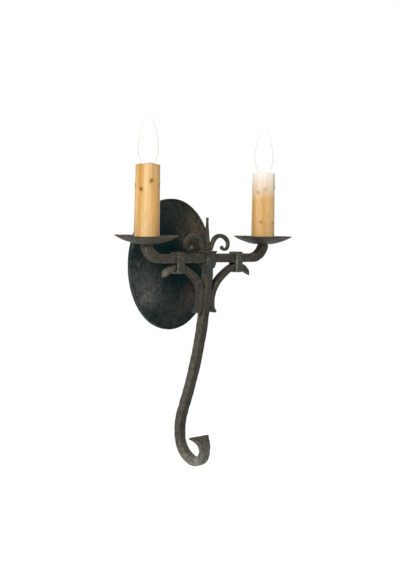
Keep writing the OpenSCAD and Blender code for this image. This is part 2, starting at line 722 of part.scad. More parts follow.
// Outside radius of the bulb's glass at height z above its cap
function bulb_profile(z) =
  let (neck = cap_r + 0.9, t = (z - bulb_belly) / (bulb_h - bulb_belly))
  z < 0 ? neck :
  z < bulb_belly ? neck + (bulb_r - neck) * (1 - cos(180 * z / bulb_belly)) / 2 :
  1 + (bulb_r - 1) * pow(cos(90 * min(t, 1)), 0.8);
module bulb_glass_at(side) {
  steps = 20;
  neck_r = cap_r - 0.45;
  levels = [for (k = [0 : steps]) bulb_h * (1 - pow(1 - k / steps, 1.3))];
  inner = [for (z = levels) if (z < bulb_h - 3) z];
  clear = [0.95, 0.95, 0.92, 0.6];
  color(clear) at_candle(side) translate([0, 0, cap_top_z]) rotate_extrude() polygon(concat(
    [[neck_r - glass_t, -5], [neck_r, -5], [neck_r, 0.1]],
    [for (z = levels) [bulb_profile(z), z + 0.1]],
    [[0, bulb_h + 0.9], [0, bulb_h - 2]],
    [for (k = [len(inner) - 1 : -1 : 1]) [bulb_profile(inner[k]) - glass_t, inner[k] + 0.1]],
    [[neck_r - glass_t, 1.5]]
  ));
}
module bulb_glass_left() { bulb_glass_at(-1); }
module bulb_glass_right() { bulb_glass_at(1); }
// Screw cap with raised thread rings
module bulb_cap_at(side) {
  color(brass) at_candle(side) translate([0, 0, cap_z]) rotate_extrude() polygon(concat(
    [[cap_r - 0.4, 0], [cap_r - 0.3, 0]],
    [for (z = [0 : thread_pitch : 3 * thread_pitch]) each [
      [cap_r - 0.1, z + 1], [cap_r + 0.2, z + 1.9], [cap_r + 0.2, z + 2.3], [cap_r - 0.1, z + 3.2]
    ]],
    [[cap_r, cap_h], [cap_r - 0.4, cap_h]]
  ));
}
module bulb_cap_left() { bulb_cap_at(-1); }
module bulb_cap_right() { bulb_cap_at(1); }
module bulb_insulator_at(side) {
  color(dark_plastic) at_candle(side) translate([0, 0, cap_z - insulator_h]) {
    cylinder(r1 = 3, r2 = cap_r - 0.42, h = insulator_h);
    translate([0, 0, insulator_h]) cylinder(r = cap_r - 0.42, h = 1.5);
  }
}
module bulb_insulator_left() { bulb_insulator_at(-1); }
module bulb_insulator_right() { bulb_insulator_at(1); }
module bulb_contact_at(side) {
  color(steel) at_candle(side) translate([0, 0, contact_z]) cylinder(r = 2.4, h = contact_h);
}
module bulb_contact_left() { bulb_contact_at(-1); }
module bulb_contact_right() { bulb_contact_at(1); }
// Glass stem and its two support wires inside the bulb
module bulb_mount_at(side) {
  color([0.85, 0.88, 0.86]) at_candle(side) translate([0, 0, cap_top_z - 5]) {
    cylinder(r = cap_r - 0.45 - glass_t - 0.05, h = 2);
    cylinder(r = 2.2, h = 22);
    for (s = [-1, 1]) translate([s * 1.2, 0, 21]) rotate([0, s * 9, 0])
      cylinder(r = 0.35, h = mount_top - 16, $fn = 16);
  }
}
module bulb_mount_left() { bulb_mount_at(-1); }
module bulb_mount_right() { bulb_mount_at(1); }
// Filament strung between the support wires in a zigzag
module filament_at(side) {
  half = 1.2 + (mount_top - 16) * sin(9);
  n = 6;
  rows = [for (k = [0 : n]) [half * (2 * k / n - 1), 0, (k % 2 == 0 ? 0 : 4)]];
  high = cap_top_z - 5 + 21 + (mount_top - 16) * cos(9) + 0.15;
  color([0.95, 0.7, 0.3]) at_candle(side) translate([0, 0, high]) wire(rows, 0.25, 6);
}
module filament_left() { filament_at(-1); }
module filament_right() { filament_at(1); }

// Route of one lead from its socket, down the riser, along the arm and out through the nipple
function lead_route(k) = concat(
  [
    [candle_x + k * lead_top, -lead_top, socket_z + 5 - arm_z],
    [candle_x + k * lead_top, -lead_top, socket_z - 2 - arm_z],
    [candle_x + k * lead_top, -lead_top, socket_z - 8 - arm_z],
    [candle_x + k * 3.6, -3.9, socket_z - 24 - arm_z],
    [candle_x + k * 2.2, -2.6, riser_top_z + 18 - arm_z],
    [candle_x + k, 0.6 * k - 0.4, riser_top_z + 7 - arm_z],
    [candle_x, k * lead_gap, riser_top_z - arm_z],
    [candle_x, k * lead_gap, riser_top_z - 6 - arm_z],
    [candle_x, k * lead_gap, arm_rise + 3]
  ],
  [for (j = [0 : 2]) let (a = 90 - (90 - arm_turn) * j / 3)
    [turn_x + arm_turn_r * sin(a), k * lead_gap, arm_rise - arm_turn_r * cos(a)]],
  [for (j = [0 : 4]) let (a = arm_turn * (1 - j / 5))
    [sweep_x + arm_sweep_r * sin(a), k * lead_gap, arm_sweep_r * (1 - cos(a))]],
  [for (x = [sweep_x - 4 : -12 : 18]) [x, k * lead_gap, 0]],
  k > 0 ? [
    [9, lead_gap, 0], [5.2, lead_gap + 0.3, -0.3], [2.9, 2.2, -0.8], [1.6, 4.0, -1.05],
    [lead_step, 6.4, -lead_step]
  ] : [
    [9, -lead_gap, 0], [4.6, -lead_gap - 0.3, 0.5], [2.2, -0.2, 1], [1.3, 2.2, 1.1],
    [lead_step, 5.2, lead_step]
  ],
  [for (y = [14 : 12 : stand_off + dome_in_y]) [lead_step, y, -k * lead_step]],
  let (y = stand_off + connector_y) [
    [lead_step, y - 3.4, -k * lead_step],
    [lead_step, y - 1.6, -k * (lead_step + 0.7)],
    [lead_step, y - 0.4, -k * (lead_step + 2.2)],
    [lead_step, y, -k * (lead_step + 4.2)],
    [lead_step, y, -k * (connector_z - 8)],
    [lead_step, y, -k * (connector_z + 4)]
  ]
);
module lead_at(side, k, tint) {
  color(tint) on_side(side) translate([0, arm_y, arm_z]) wire(lead_route(k), lead_r);
}
module lead_hot_left() { lead_at(-1, -1, [0.1, 0.1, 0.1]); }
module lead_neutral_left() { lead_at(-1, 1, [0.9, 0.9, 0.88]); }
module lead_hot_right() { lead_at(1, -1, [0.1, 0.1, 0.1]); }
module lead_neutral_right() { lead_at(1, 1, [0.9, 0.9, 0.88]); }
// Twist-on connectors that join each pair of leads behind the plate
module wire_connectors() {
  color([0.85, 0.45, 0.12]) translate([0, connector_y, arm_z]) for (s = [-1, 1])
    rotate([0, s < 0 ? 180 : 0, 0]) translate([0, 0, connector_z]) difference() {
      cylinder(r1 = connector_r, r2 = connector_tip_r, h = connector_l);
      translate([0, 0, -1]) cylinder(r = lead_step + lead_r + 0.15, h = connector_bore_l + 1);
    }
}
// Bare earth wire from its screw to the nut behind the plate
module earth_wire() {
  y0 = -strap_t - 2.2 - 0.75;
  color([0.72, 0.45, 0.2]) wire([
    [earth_x, y0, 0], [earth_x - 4, y0 - 0.2, 1.5], [earth_x - 9, y0 - 1.6, 5], [earth_x - 14, y0 - 3.6, 9],
    [nut_r + 1.2, dome_in_y + 1.6, arm_z]
  ], 0.7);
}

mounting_strap();
earth_screw();
plate_screws();
wall_plate();
plate_nut();
centre_nipple();
standoff_tube();
hub();
spike();
stem();
scroll_left();
scroll_right();
arm_left();
arm_right();
collar_left();
collar_right();
bracket_left();
bracket_right();
pan_washer_left();
pan_washer_right();
pan_left();
pan_right();
riser_nipple_left();
riser_nipple_right();
pan_nut_left();
pan_nut_right();
socket_post_left();
socket_post_right();
socket_body_left();
socket_body_right();
socket_shell_left();
socket_shell_right();
socket_contact_left();
socket_contact_right();
sleeve_left();
sleeve_right();
bulb_glass_left();
bulb_glass_right();
bulb_cap_left();
bulb_cap_right();
bulb_insulator_left();
bulb_insulator_right();
bulb_contact_left();
bulb_contact_right();
bulb_mount_left();
bulb_mount_right();
filament_left();
filament_right();
lead_hot_left();
lead_neutral_left();
lead_hot_right();
lead_neutral_right();
wire_connectors();
earth_wire();
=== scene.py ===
import math

import bmesh
import bpy
from mathutils import Matrix, Vector, noise


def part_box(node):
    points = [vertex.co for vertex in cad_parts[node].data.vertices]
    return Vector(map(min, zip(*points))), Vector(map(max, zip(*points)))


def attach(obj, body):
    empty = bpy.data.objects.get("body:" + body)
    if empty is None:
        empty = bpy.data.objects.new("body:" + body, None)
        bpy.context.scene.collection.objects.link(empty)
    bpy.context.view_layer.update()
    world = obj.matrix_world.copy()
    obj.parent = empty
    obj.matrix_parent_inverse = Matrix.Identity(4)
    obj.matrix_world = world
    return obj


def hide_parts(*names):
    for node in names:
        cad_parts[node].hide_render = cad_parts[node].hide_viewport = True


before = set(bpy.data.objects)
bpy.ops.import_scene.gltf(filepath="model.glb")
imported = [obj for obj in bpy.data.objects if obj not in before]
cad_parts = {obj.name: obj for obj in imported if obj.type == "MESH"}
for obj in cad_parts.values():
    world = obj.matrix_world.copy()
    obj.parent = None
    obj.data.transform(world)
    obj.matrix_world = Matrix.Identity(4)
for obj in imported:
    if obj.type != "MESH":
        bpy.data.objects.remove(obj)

# Forged iron candle sconce with two lights, in metres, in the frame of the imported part
mm = 0.001
scene = bpy.context.scene
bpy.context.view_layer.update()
sides = {"left": -1, "right": 1}

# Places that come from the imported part
sleeveLow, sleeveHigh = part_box("sleeve_right")
candleX = (sleeveLow.x + sleeveHigh.x) / 2
armY = (sleeveLow.y + sleeveHigh.y) / 2
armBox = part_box("arm_right")
armZ = armBox[0].z + (armBox[1].y - armBox[0].y) / 2
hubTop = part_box("hub")[1].z
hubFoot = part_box("hub")[0].z
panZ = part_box("pan_right")[0].z
sleeveFoot = sleeveLow.z
sleeveTop = sleeveHigh.z


# Camera at the photograph's place
cameraSetup = {
    "azimuth": 44.0,  # degrees to the left of the front
    "distance": 1.6169,
    "sideways": 0.04927,
    "height": 0.05857,
    "roll": 0.93,  # degrees
    "sensor": 36,  # mm along the long side
    "focal": 64.06,  # mm
    "shift": (-0.0016, -0.0966),
    "clip": (0.05, 60),
}


def makeCamera():
    setup = cameraSetup
    turn = math.radians(setup["azimuth"])
    roll = math.radians(setup["roll"])
    back = Vector((-math.sin(turn), -math.cos(turn), 0))
    right = Vector((math.cos(turn), -math.sin(turn), 0))
    up = Vector((0, 0, 1))
    across = right * math.cos(roll) + up * math.sin(roll)
    upward = up * math.cos(roll) - right * math.sin(roll)
    place = back * setup["distance"] + right * setup["sideways"] + up * setup["height"]
    camera = bpy.data.objects.new("camera", bpy.data.cameras.new("camera"))
    scene.collection.objects.link(camera)
    camera.matrix_world = Matrix((
        (across.x, upward.x, back.x, place.x),
        (across.y, upward.y, back.y, place.y),
        (across.z, upward.z, back.z, place.z),
        (0, 0, 0, 1),
    ))
    camera.data.sensor_width = setup["sensor"]
    camera.data.lens = setup["focal"]
    camera.data.shift_x, camera.data.shift_y = setup["shift"]
    camera.data.clip_start, camera.data.clip_end = setup["clip"]
    scene.camera = camera


makeCamera()
print("camera placed")


# Node helpers for the finishes
def tone(red, green, blue):
    # linear light from picture values of 0 to 255
    shares = [v / 255 for v in (red, green, blue)]
    return [((v + 0.055) / 1.055) ** 2.4 if v > 0.04 else v / 12.92 for v in shares] + [1.0]


def newFinish(name, rough, metal=0.0, specular=0.5):
    finish = bpy.data.materials.new(name)
    finish.use_nodes = True
    shader = finish.node_tree.nodes["Principled BSDF"]
    shader.inputs["Roughness"].default_value = rough
    shader.inputs["Metallic"].default_value = metal
    shader.inputs["Specular IOR Level"].default_value = specular
    return finish, finish.node_tree, shader


def feed(tree, socket, value):
    # links the socket to another node's output, or sets a plain value
    if isinstance(value, bpy.types.NodeSocket):
        tree.links.new(value, socket)
    else:
        socket.default_value = value


def addNode(tree, kind, **inputs):
    made = tree.nodes.new(kind)
    for name, value in inputs.items():
        feed(tree, made.inputs[name.replace("_", " ")], value)
    return made


def joinValues(tree, operation, first, second, kind="ShaderNodeMath"):
    made = tree.nodes.new(kind)
    made.operation = operation
    feed(tree, made.inputs[0], first)
    feed(tree, made.inputs[1], second)
    return made.outputs["Value"]


def grain(tree, scale, detail=3.0, stretch=(1, 1, 1)):
    place = addNode(tree, "ShaderNodeTexCoord").outputs["Object"]
    mapped = addNode(tree, "ShaderNodeMapping", Vector=place, Scale=stretch).outputs["Vector"]
    made = addNode(tree, "ShaderNodeTexNoise", Vector=mapped, Scale=scale, Detail=detail, Roughness=0.55)
    return made.outputs["Fac"]


def spread(tree, source, stops):
    made = addNode(tree, "ShaderNodeValToRGB", Fac=source)
    ramp = made.color_ramp
    while len(ramp.elements) < len(stops):
        ramp.elements.new(0.5)
    for element, (place, colour) in zip(ramp.elements, stops):
        element.position = place
        element.color = colour if isinstance(colour, list) else [colour, colour, colour, 1]
    return made.outputs["Color"]


def blendColours(tree, share, first, second, mode="MIX"):
    made = tree.nodes.new("ShaderNodeMix")
    made.data_type = "RGBA"
    made.blend_type = mode
    for index, value in ((0, share), (6, first), (7, second)):
        feed(tree, made.inputs[index], value)
    return made.outputs[2]


def addBump(tree, shader, height, strength, distance):
    bump = addNode(tree, "ShaderNodeBump", Height=height, Strength=strength, Distance=distance)
    old = shader.inputs["Normal"].links
    if old:
        tree.links.new(old[0].from_socket, bump.inputs["Normal"])
    tree.links.new(bump.outputs["Normal"], shader.inputs["Normal"])


def nearPoint(tree, point, reach):
    # share that falls from 1 at a point, in metres, to 0 at the given reach
    place = addNode(tree, "ShaderNodeTexCoord").outputs["Object"]
    away = joinValues(tree, "DISTANCE", place, point, "ShaderNodeVectorMath")
    share = addNode(tree, "ShaderNodeMapRange", Value=away, From_Max=reach, To_Min=1.0, To_Max=0.0)
    share.interpolation_type = "SMOOTHSTEP"
    return share.outputs[0]


def leftSheenShare(tree):
    # painted sheen: 1 on faces that look to the left along the wall, 0 on all that look elsewhere
    normal = addNode(tree, "ShaderNodeNewGeometry").outputs["Normal"]
    facing = joinValues(tree, "DOT_PRODUCT", normal, (-1, 0, 0), "ShaderNodeVectorMath")
    return spread(tree, facing, [(0.62, 0.0), (0.92, 0.85)])


# How fine each cloud of the forged iron is
ironGrain = {
    "hue": 34,
    "patch": 60,
    "blotch": 170,
    "speck": 800,
    "rubbed": 110,
    "gloss": 120,
    "scale": 240,
    "pit": 1500,
}


def forgedIron(name, hues, wornAndLit, patches, edgeWearAndSheen, leftTone=None, rough=(0.45, 0.65), specular=0.15):
    # each patch is a point and a reach in metres, and a tone; the edge share is how much the edges show the
    # lighter tone, which stands for wear and for painted highlights on the edges; the left tone is a painted
    # sheen on faces that look to the left
    finish, tree, shader = newFinish(name, 0.5, specular=specular)
    black = tone(0, 0, 0)

    def clouds(kind, detail, *stops):
        return spread(tree, grain(tree, ironGrain[kind], detail), stops)

    steel = clouds("hue", 3, *[(0.38 + 0.08 * k, hue) for k, hue in enumerate(hues)])
    # painted sheen: faces that look to the left take a lighter tone
    if leftTone:
        steel = blendColours(tree, leftSheenShare(tree), steel, leftTone)
    for point, reach, hue in patches:
        cloudy = blendColours(tree, nearPoint(tree, point, reach), black,
                              clouds("patch", 3, (0.32, 0.45), (0.6, 1.0)))
        steel = blendColours(tree, cloudy, steel, hue)
    blotches = clouds("blotch", 4, (0.35, 0.55), (0.62, 1.25))
    mottled = blendColours(tree, 1.0, steel, blotches, "MULTIPLY")
    speckled = blendColours(tree, clouds("speck", 2, (0.5, 0.0), (0.75, 0.22)), mottled, wornAndLit)
    # lighter edges: wear, and painted highlights on the edges
    bend = addNode(tree, "ShaderNodeNewGeometry").outputs["Pointiness"]
    broken = clouds("rubbed", 4, (0.46, 0.08), (0.62, 1.0))
    edges = blendColours(tree, broken, black, spread(tree, bend, [(0.505, 0.0), (0.56, edgeWearAndSheen)]))
    rubbed = blendColours(tree, edges, speckled, wornAndLit)
    # painted shade in the hollows and creases
    hollows = spread(tree, bend, [(0.46, 0.75), (0.495, 0.0)])
    shadedHollows = blendColours(tree, hollows, rubbed, tone(16, 14, 12))
    tree.links.new(shadedHollows, shader.inputs["Base Color"])
    gloss = clouds("gloss", 3, (0.3, rough[0]), (0.7, rough[1]))
    tree.links.new(gloss, shader.inputs["Roughness"])
    addBump(tree, shader, grain(tree, ironGrain["scale"], 5), 0.5, 0.0007)
    addBump(tree, shader, grain(tree, ironGrain["pit"], 2), 0.3, 0.00015)
    return finish


ironHues = [tone(46, 48, 43), tone(55, 52, 44), tone(62, 52, 44), tone(48, 43, 38)]
bandHues = [tone(46, 50, 44), tone(54, 57, 49), tone(60, 57, 48), tone(48, 50, 43)]
# the plate's dark teal iron, darkened further as painted shade
plateHuesAndShade = [tone(2, 37, 42), tone(6, 39, 41), tone(20, 34, 33), tone(3, 34, 40)]
ironWornAndLit = tone(132, 124, 106)
barPatches = [
    ((-0.125, -0.09, 0.04), 0.065, tone(76, 69, 58)),
    ((-0.09, -0.094, 0.012), 0.045, tone(74, 68, 59)),
    ((0.056, -0.094, 0.012), 0.04, tone(38, 39, 35)),
    ((0.118, -0.09, 0.014), 0.03, tone(40, 38, 34)),
]
# painted highlight on the left leaf
leafHighlightPatch = ((-0.092, -0.09, -0.01), 0.035, tone(104, 98, 84))
# a greenish tint near the hub, and painted light: the tail's bottom, the hub's top left, the scroll's eye and
# the leaf
stemTintAndLightPatches = [
    # painted light from below on the tail's bottom
    ((0, -0.075, -0.325), 0.075, tone(146, 143, 132)),
    leafHighlightPatch,
    ((0, -0.095, 0.0), 0.035, tone(56, 62, 58)),
    # painted highlights on the hub's top left and on the left scroll's eye
    ((-0.0098, -0.091, 0.01), 0.011, tone(112, 117, 108)),
    ((-0.0324, -0.085, 0.0311), 0.008, tone(158, 154, 142)),
]
# painted light and reflections across the plate's dome, lighter at the lower left, the upper right and in
# other patches
plateLightPatches = [
    ((-0.058, -0.012, -0.042), 0.055, tone(98, 101, 97)),
    ((0.043, -0.012, 0.059), 0.062, tone(118, 107, 91)),
    ((0.033, -0.014, -0.054), 0.034, tone(82, 72, 66)),
    ((-0.064, -0.01, -0.009), 0.046, tone(70, 76, 71)),
    ((0.0, -0.01, 0.09), 0.05, tone(56, 65, 58)),
    ((0.0, -0.01, -0.075), 0.055, tone(56, 60, 55)),
]
barIron = forgedIron("barIron", ironHues, ironWornAndLit, barPatches, 0.6)
# the left tones below are painted sheen on the faces that look to the left
stemIron = forgedIron("stemIron", ironHues, ironWornAndLit, stemTintAndLightPatches, 0.42, leftTone=tone(86, 80, 70))
bracketIron = forgedIron("bracketIron", ironHues, ironWornAndLit, [leafHighlightPatch], 0.4, leftTone=tone(62, 60, 53))
# the collars' pale edge tone is painted highlight on their bevels, with some wear
bandIron = forgedIron("bandIron", bandHues, tone(170, 170, 156), [], 1.0, leftTone=tone(106, 108, 98))
# the plate's lighter edge tone is wear and painted highlight, as on the bars
plateIron = forgedIron("plateIron", plateHuesAndShade, tone(98, 101, 93), plateLightPatches, 0.8,
                       rough=(0.5, 0.7), specular=0.03)


def plainMetal(name, colour, second, rough, scale, stretch=(1, 1, 1)):
    finish, tree, shader = newFinish(name, rough, metal=1.0)
    shade = spread(tree, grain(tree, scale, 3, stretch), [(0.35, colour), (0.7, second)])
    tree.links.new(shade, shader.inputs["Base Color"])
    addBump(tree, shader, grain(tree, scale * 3, 2, stretch), 0.1, 0.0001)
    return finish


zincSteel = plainMetal("zincSteel", tone(176, 178, 176), tone(140, 142, 140), 0.38, 300, (1, 1, 12))
brassMetal = plainMetal("brassMetal", tone(206, 170, 98), tone(172, 136, 70), 0.32, 250)
copperMetal = plainMetal("copperMetal", tone(200, 128, 84), tone(160, 92, 58), 0.35, 500)
greenScrew = plainMetal("greenScrew", tone(40, 112, 66), tone(26, 84, 48), 0.4, 500)


def mouldedPlastic(name, colour, second, rough, scale=300):
    finish, tree, shader = newFinish(name, rough)
    shade = spread(tree, grain(tree, scale, 3), [(0.35, colour), (0.7, second)])
    tree.links.new(shade, shader.inputs["Base Color"])
    addBump(tree, shader, grain(tree, scale * 4, 2), 0.15, 0.0001)
    return finish


socketPlastic = mouldedPlastic("socketPlastic", tone(42, 34, 28), tone(26, 22, 20), 0.4)
blackLead = mouldedPlastic("blackLead", tone(28, 28, 29), tone(18, 18, 19), 0.45, 600)
whiteLead = mouldedPlastic("whiteLead", tone(226, 224, 216), tone(206, 202, 190), 0.45, 600)
connectorPlastic = mouldedPlastic("connectorPlastic", tone(222, 118, 40), tone(200, 98, 28), 0.35, 400)
blackGlass = mouldedPlastic("blackGlass", tone(20, 20, 22), tone(12, 12, 14), 0.15)


def painted(tree, label):
    made = addNode(tree, "ShaderNodeAttribute")
    made.attribute_name = label
    return made.outputs["Fac"]


def candleResin(name):
    # the drip marks paint shadow under the ends of the drips and shade along their sides and at the top, the
    # streak marks are darker streaks with painted shade on the sides, and glow is painted light from the bulb
    # washing the sleeve
    finish, tree, shader = newFinish(name, 0.48, specular=0.3)
    shader.inputs["Subsurface Weight"].default_value = 0.12
    shader.inputs["Subsurface Scale"].default_value = 0.004
    shader.inputs["Subsurface Radius"].default_value = (1.0, 0.5, 0.25)
    bands = grain(tree, 95, 4, (1, 1, 0.05))
    honeys = [(0.36, tone(213, 163, 90)), (0.5, tone(240, 196, 132)), (0.62, tone(247, 209, 153))]
    honey = spread(tree, bands, honeys)
    clouds = spread(tree, grain(tree, 40, 3, (1, 1, 0.6)), [(0.4, 0.0), (0.7, 0.6)])
    warm = blendColours(tree, clouds, honey, tone(223, 168, 92))
    # darker streaks, with painted shade on the sides
    streakShaded = blendColours(tree, painted(tree, "tan"), warm, tone(190, 136, 64))
    flecks = spread(tree, grain(tree, 420, 2, (1, 1, 0.25)), [(0.58, 0.0), (0.8, 0.5)])
    flecked = blendColours(tree, flecks, streakShaded, tone(168, 120, 68))
    # painted shadow under the drips, and painted shade along them and at the top
    marked = blendColours(tree, painted(tree, "stain"), flecked, tone(108, 66, 26))
    washed = blendColours(tree, painted(tree, "glow"), marked, tone(252, 244, 232))
    tree.links.new(washed, shader.inputs["Base Color"])
    shine = blendColours(tree, painted(tree, "glow"), tone(0, 0, 0), tone(72, 69, 62))
    tree.links.new(shine, shader.inputs["Emission Color"])
    shader.inputs["Emission Strength"].default_value = 1.0
    addBump(tree, shader, grain(tree, 260, 4, (1, 1, 0.15)), 0.4, 0.0006)
    return finish


resinFinish = candleResin("resinFinish")


def litGlass(name):
    # white in the middle and grey-green towards the outline
    finish, tree, shader = newFinish(name, 0.25, specular=0.1)
    shader.inputs["Base Color"].default_value = tone(40, 40, 39)
    facing = addNode(tree, "ShaderNodeLayerWeight", Blend=0.3).outputs["Facing"]
    frosts = [(0.32, tone(255, 255, 253)), (0.5, tone(214, 219, 208)), (0.7, tone(176, 184, 170))]
    tree.links.new(spread(tree, facing, frosts), shader.inputs["Emission Color"])
    shader.inputs["Emission Strength"].default_value = 1.0
    return finish


def glowingWire(name):
    finish, tree, shader = newFinish(name, 0.4)
    warmth = spread(tree, grain(tree, 900, 2), [(0.3, tone(255, 206, 120)), (0.7, tone(255, 228, 170))])
    tree.links.new(warmth, shader.inputs["Base Color"])
    tree.links.new(warmth, shader.inputs["Emission Color"])
    shader.inputs["Emission Strength"].default_value = 2.0
    return finish


def clearGlass(name):
    finish, tree, shader = newFinish(name, 0.08)
    tint = spread(tree, grain(tree, 120, 2), [(0.3, tone(222, 230, 226)), (0.7, tone(206, 218, 214))])
    tree.links.new(tint, shader.inputs["Base Color"])
    shader.inputs["Transmission Weight"].default_value = 0.6
    return finish


bulbFinish = litGlass("bulbFinish")
filamentFinish = glowingWire("filamentFinish")
mountFinish = clearGlass("mountFinish")
print("finishes made")


# Mesh helpers
def fullTurn(count):
    # angles of one turn in equal steps
    return [2 * math.pi * j / count for j in range(count)]


def newPiece(name, points, faces):
    mesh = bpy.data.meshes.new(name)
    mesh.from_pydata(points, [], faces)
    mesh.update()
    piece = bpy.data.objects.new(name, mesh)
    scene.collection.objects.link(piece)
    mesh.shade_smooth()
    return piece


def ringSkin(name, rings, join=False):
    # skins a list of closed rings; join meets the last ring to the first, otherwise both ends are filled
    count = len(rings[0])
    points = [p for ring in rings for p in ring]
    faces = []
    last = len(rings) if join else len(rings) - 1
    for i in range(last):
        low, high = i * count, (i + 1) % len(rings) * count
        for j in range(count):
            k = (j + 1) % count
            faces.append((low + j, low + k, high + k, high + j))
    if not join:
        for i, flip in ((0, True), (len(rings) - 1, False)):
            middle = sum((Vector(p) for p in rings[i]), Vector()) / count
            points.append(middle)
            for j in range(count):
                k = (j + 1) % count
                a, b = (i * count + j, i * count + k)
                faces.append((b, a, len(points) - 1) if flip else (a, b, len(points) - 1))
    return newPiece(name, points, faces)


def lathe(name, profile, centre, around):
    # profile is a closed list of (radius, height) in metres
    rings = [[(centre[0] + r * math.cos(a), centre[1] + r * math.sin(a), z) for a in fullTurn(around)]
             for r, z in profile]
    return ringSkin(name, rings, True)


def hammer(piece, depth, size, drift=0.0, seed=0.0):
    # shallow dents, each a cell of about the given size, and a slow drift of the surface
    vertices = piece.data.vertices
    normals = [v.normal.copy() for v in vertices]
    offset = Vector((seed, seed * 0.7, 0))
    bowl = 1.6  # above 1 the dents end before their cells do
    for vertex, normal in zip(vertices, normals):
        near = noise.voronoi(vertex.co / size + offset)[0][0]
        push = -depth * max(0.0, 1 - bowl * near * near)
        push += drift * noise.noise(vertex.co / (4 * size) + offset)
        vertex.co += normal * push
    piece.data.update()


def settle(piece, finish, slotName, body, *nodes):
    piece.data.materials.clear()
    piece.data.materials.append(finish)
    if nodes:
        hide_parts(*nodes)
    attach(piece, body)


def share(table, f):
    # reads a table of (share, value) at the share f
    for (f0, v0), (f1, v1) in zip(table, table[1:]):
        if f <= f1:
            return v0 + (v1 - v0) * (f - f0) / (f1 - f0)
    return table[-1][1]


# Forged bars: square bar with bevelled edges, swept along lines and arcs in one plane
barWork = {
    "bevel": 1.2,  # mm
    "bevelWander": 0.45,  # share by which the bevel varies along a bar
    "bevelRun": 9,  # mm over which it varies
    "bevelFull": 0.515,  # above 0.5 a bevel's middle stands proud
    "dent": 0.34,  # mm
    "dentSize": 8.5,  # mm
    "drift": 0.3,  # mm
    "crease": 34,  # degrees above which an edge stays sharp
}


def layPath(start, heading, runs, step):
    # runs are (radius, turn in degrees), or (0, length) for a straight run, all in mm
    # gives points about a step apart, each with its heading and its length along the path
    point, angle = Vector(start), math.radians(heading)
    path = [(point, angle, 0.0)]
    for radius, turn in runs:
        length = turn if radius == 0 else radius * math.radians(abs(turn))
        count = max(1, math.ceil(length / step))
        begin, beginAngle, done = path[-1]
        for i in range(1, count + 1):
            f = i / count
            if radius == 0:
                point = begin + Vector((math.cos(beginAngle), math.sin(beginAngle))) * length * f
                angle = beginAngle
            else:
                side = math.copysign(1, turn)
                centre = begin + radius * side * Vector((-math.sin(beginAngle), math.cos(beginAngle)))
                angle = beginAngle + math.radians(turn) * f
                point = centre + radius * side * Vector((math.sin(angle), -math.cos(angle)))
            path.append((point, angle, done + length * f))
    return path


def barRing(thick, wide, bevels, cuts):
    # outline of the bar's section: four faces, each cut in cells, with a point on each bevel between
    t, w = thick / 2, wide / 2
    corners = [((t, -w + bevels[3]), (t, w - bevels[0])), ((t - bevels[0], w), (-t + bevels[1], w)),
               ((-t, w - bevels[1]), (-t, -w + bevels[2])), ((-t + bevels[2], -w), (t - bevels[3], -w))]
    ring = []
    for k, (first, second) in enumerate(corners):
        count = cuts[k % 2]
        for i in range(count + 1):
            f = i / count
            ring.append((first[0] + (second[0] - first[0]) * f, first[1] + (second[1] - first[1]) * f))
        nextFirst = corners[(k + 1) % 4][0]
        full = barWork["bevelFull"]
        ring.append(((second[0] + nextFirst[0]) * full, (second[1] + nextFirst[1]) * full))
    return ring


def forgeBar(name, path, thick, wide, place, cell=1.2, bevel=None, work=1.0, seed=0.0):
    # thick lies in the plane of the path and wide across it, both as tables of (share, mm)
    # cell is the mesh's size in mm, and work the share of the dents and the drift
    total = path[-1][2]
    cuts = [max(2, math.ceil(max(v for f, v in table) / cell)) for table in (wide, thick)]
    rings = []
    for point, angle, done in path:
        f = done / total
        t, w = share(thick, f), share(wide, f)
        base = min(bevel or barWork["bevel"], 0.3 * min(t, w))
        wander = [noise.noise(Vector((done / barWork["bevelRun"], 7.0 * k, seed))) for k in range(4)]
        bevels = [base * (1 + barWork["bevelWander"] * v) for v in wander]
        normal = Vector((-math.sin(angle), math.cos(angle)))
        ring = []
        for q, across in barRing(t, w, bevels, cuts):
            spot = point + normal * q
            ring.append(place(spot.x, spot.y, across))
        rings.append(ring)
    piece = ringSkin(name, rings)
    fixNormals(piece)
    dent, drift = barWork["dent"] * work * mm, barWork["drift"] * work * mm
    hammer(piece, dent, barWork["dentSize"] * mm, drift, seed)
    piece.data.set_sharp_from_angle(angle=math.radians(barWork["crease"]))
    return piece


def fixNormals(piece):
    grid = bmesh.new()
    grid.from_mesh(piece.data)
    bmesh.ops.recalc_face_normals(grid, faces=grid.faces)
    grid.to_mesh(piece.data)
    grid.free()
    piece.data.update()


def sidePlace(side, behind=0.0):
    # from (out, up, depth) in mm on the arms' plane, or a little behind it, to the room
    return lambda out, up, depth: Vector((side * out * mm, armY + (depth + behind) * mm, up * mm))


def middlePlace(back, up, depth):
    # the same for (back, up, depth) on the plane through the middle
    return Vector((depth * mm, back * mm, up * mm))


stemShape = {
    "bar": 13.5,
    "fishtail": (42.0, 3.4),  # width and edge
    "heading": 272.6,
    "runs": [(663, 19.8), (94, -27.4), (39, -76), (20.2, -169)],
    "root": 3.0,  # length of the straight head, inside the hub
    "below": (0.05, 0.5),  # mm below the hub where the head ends and the curve starts
}


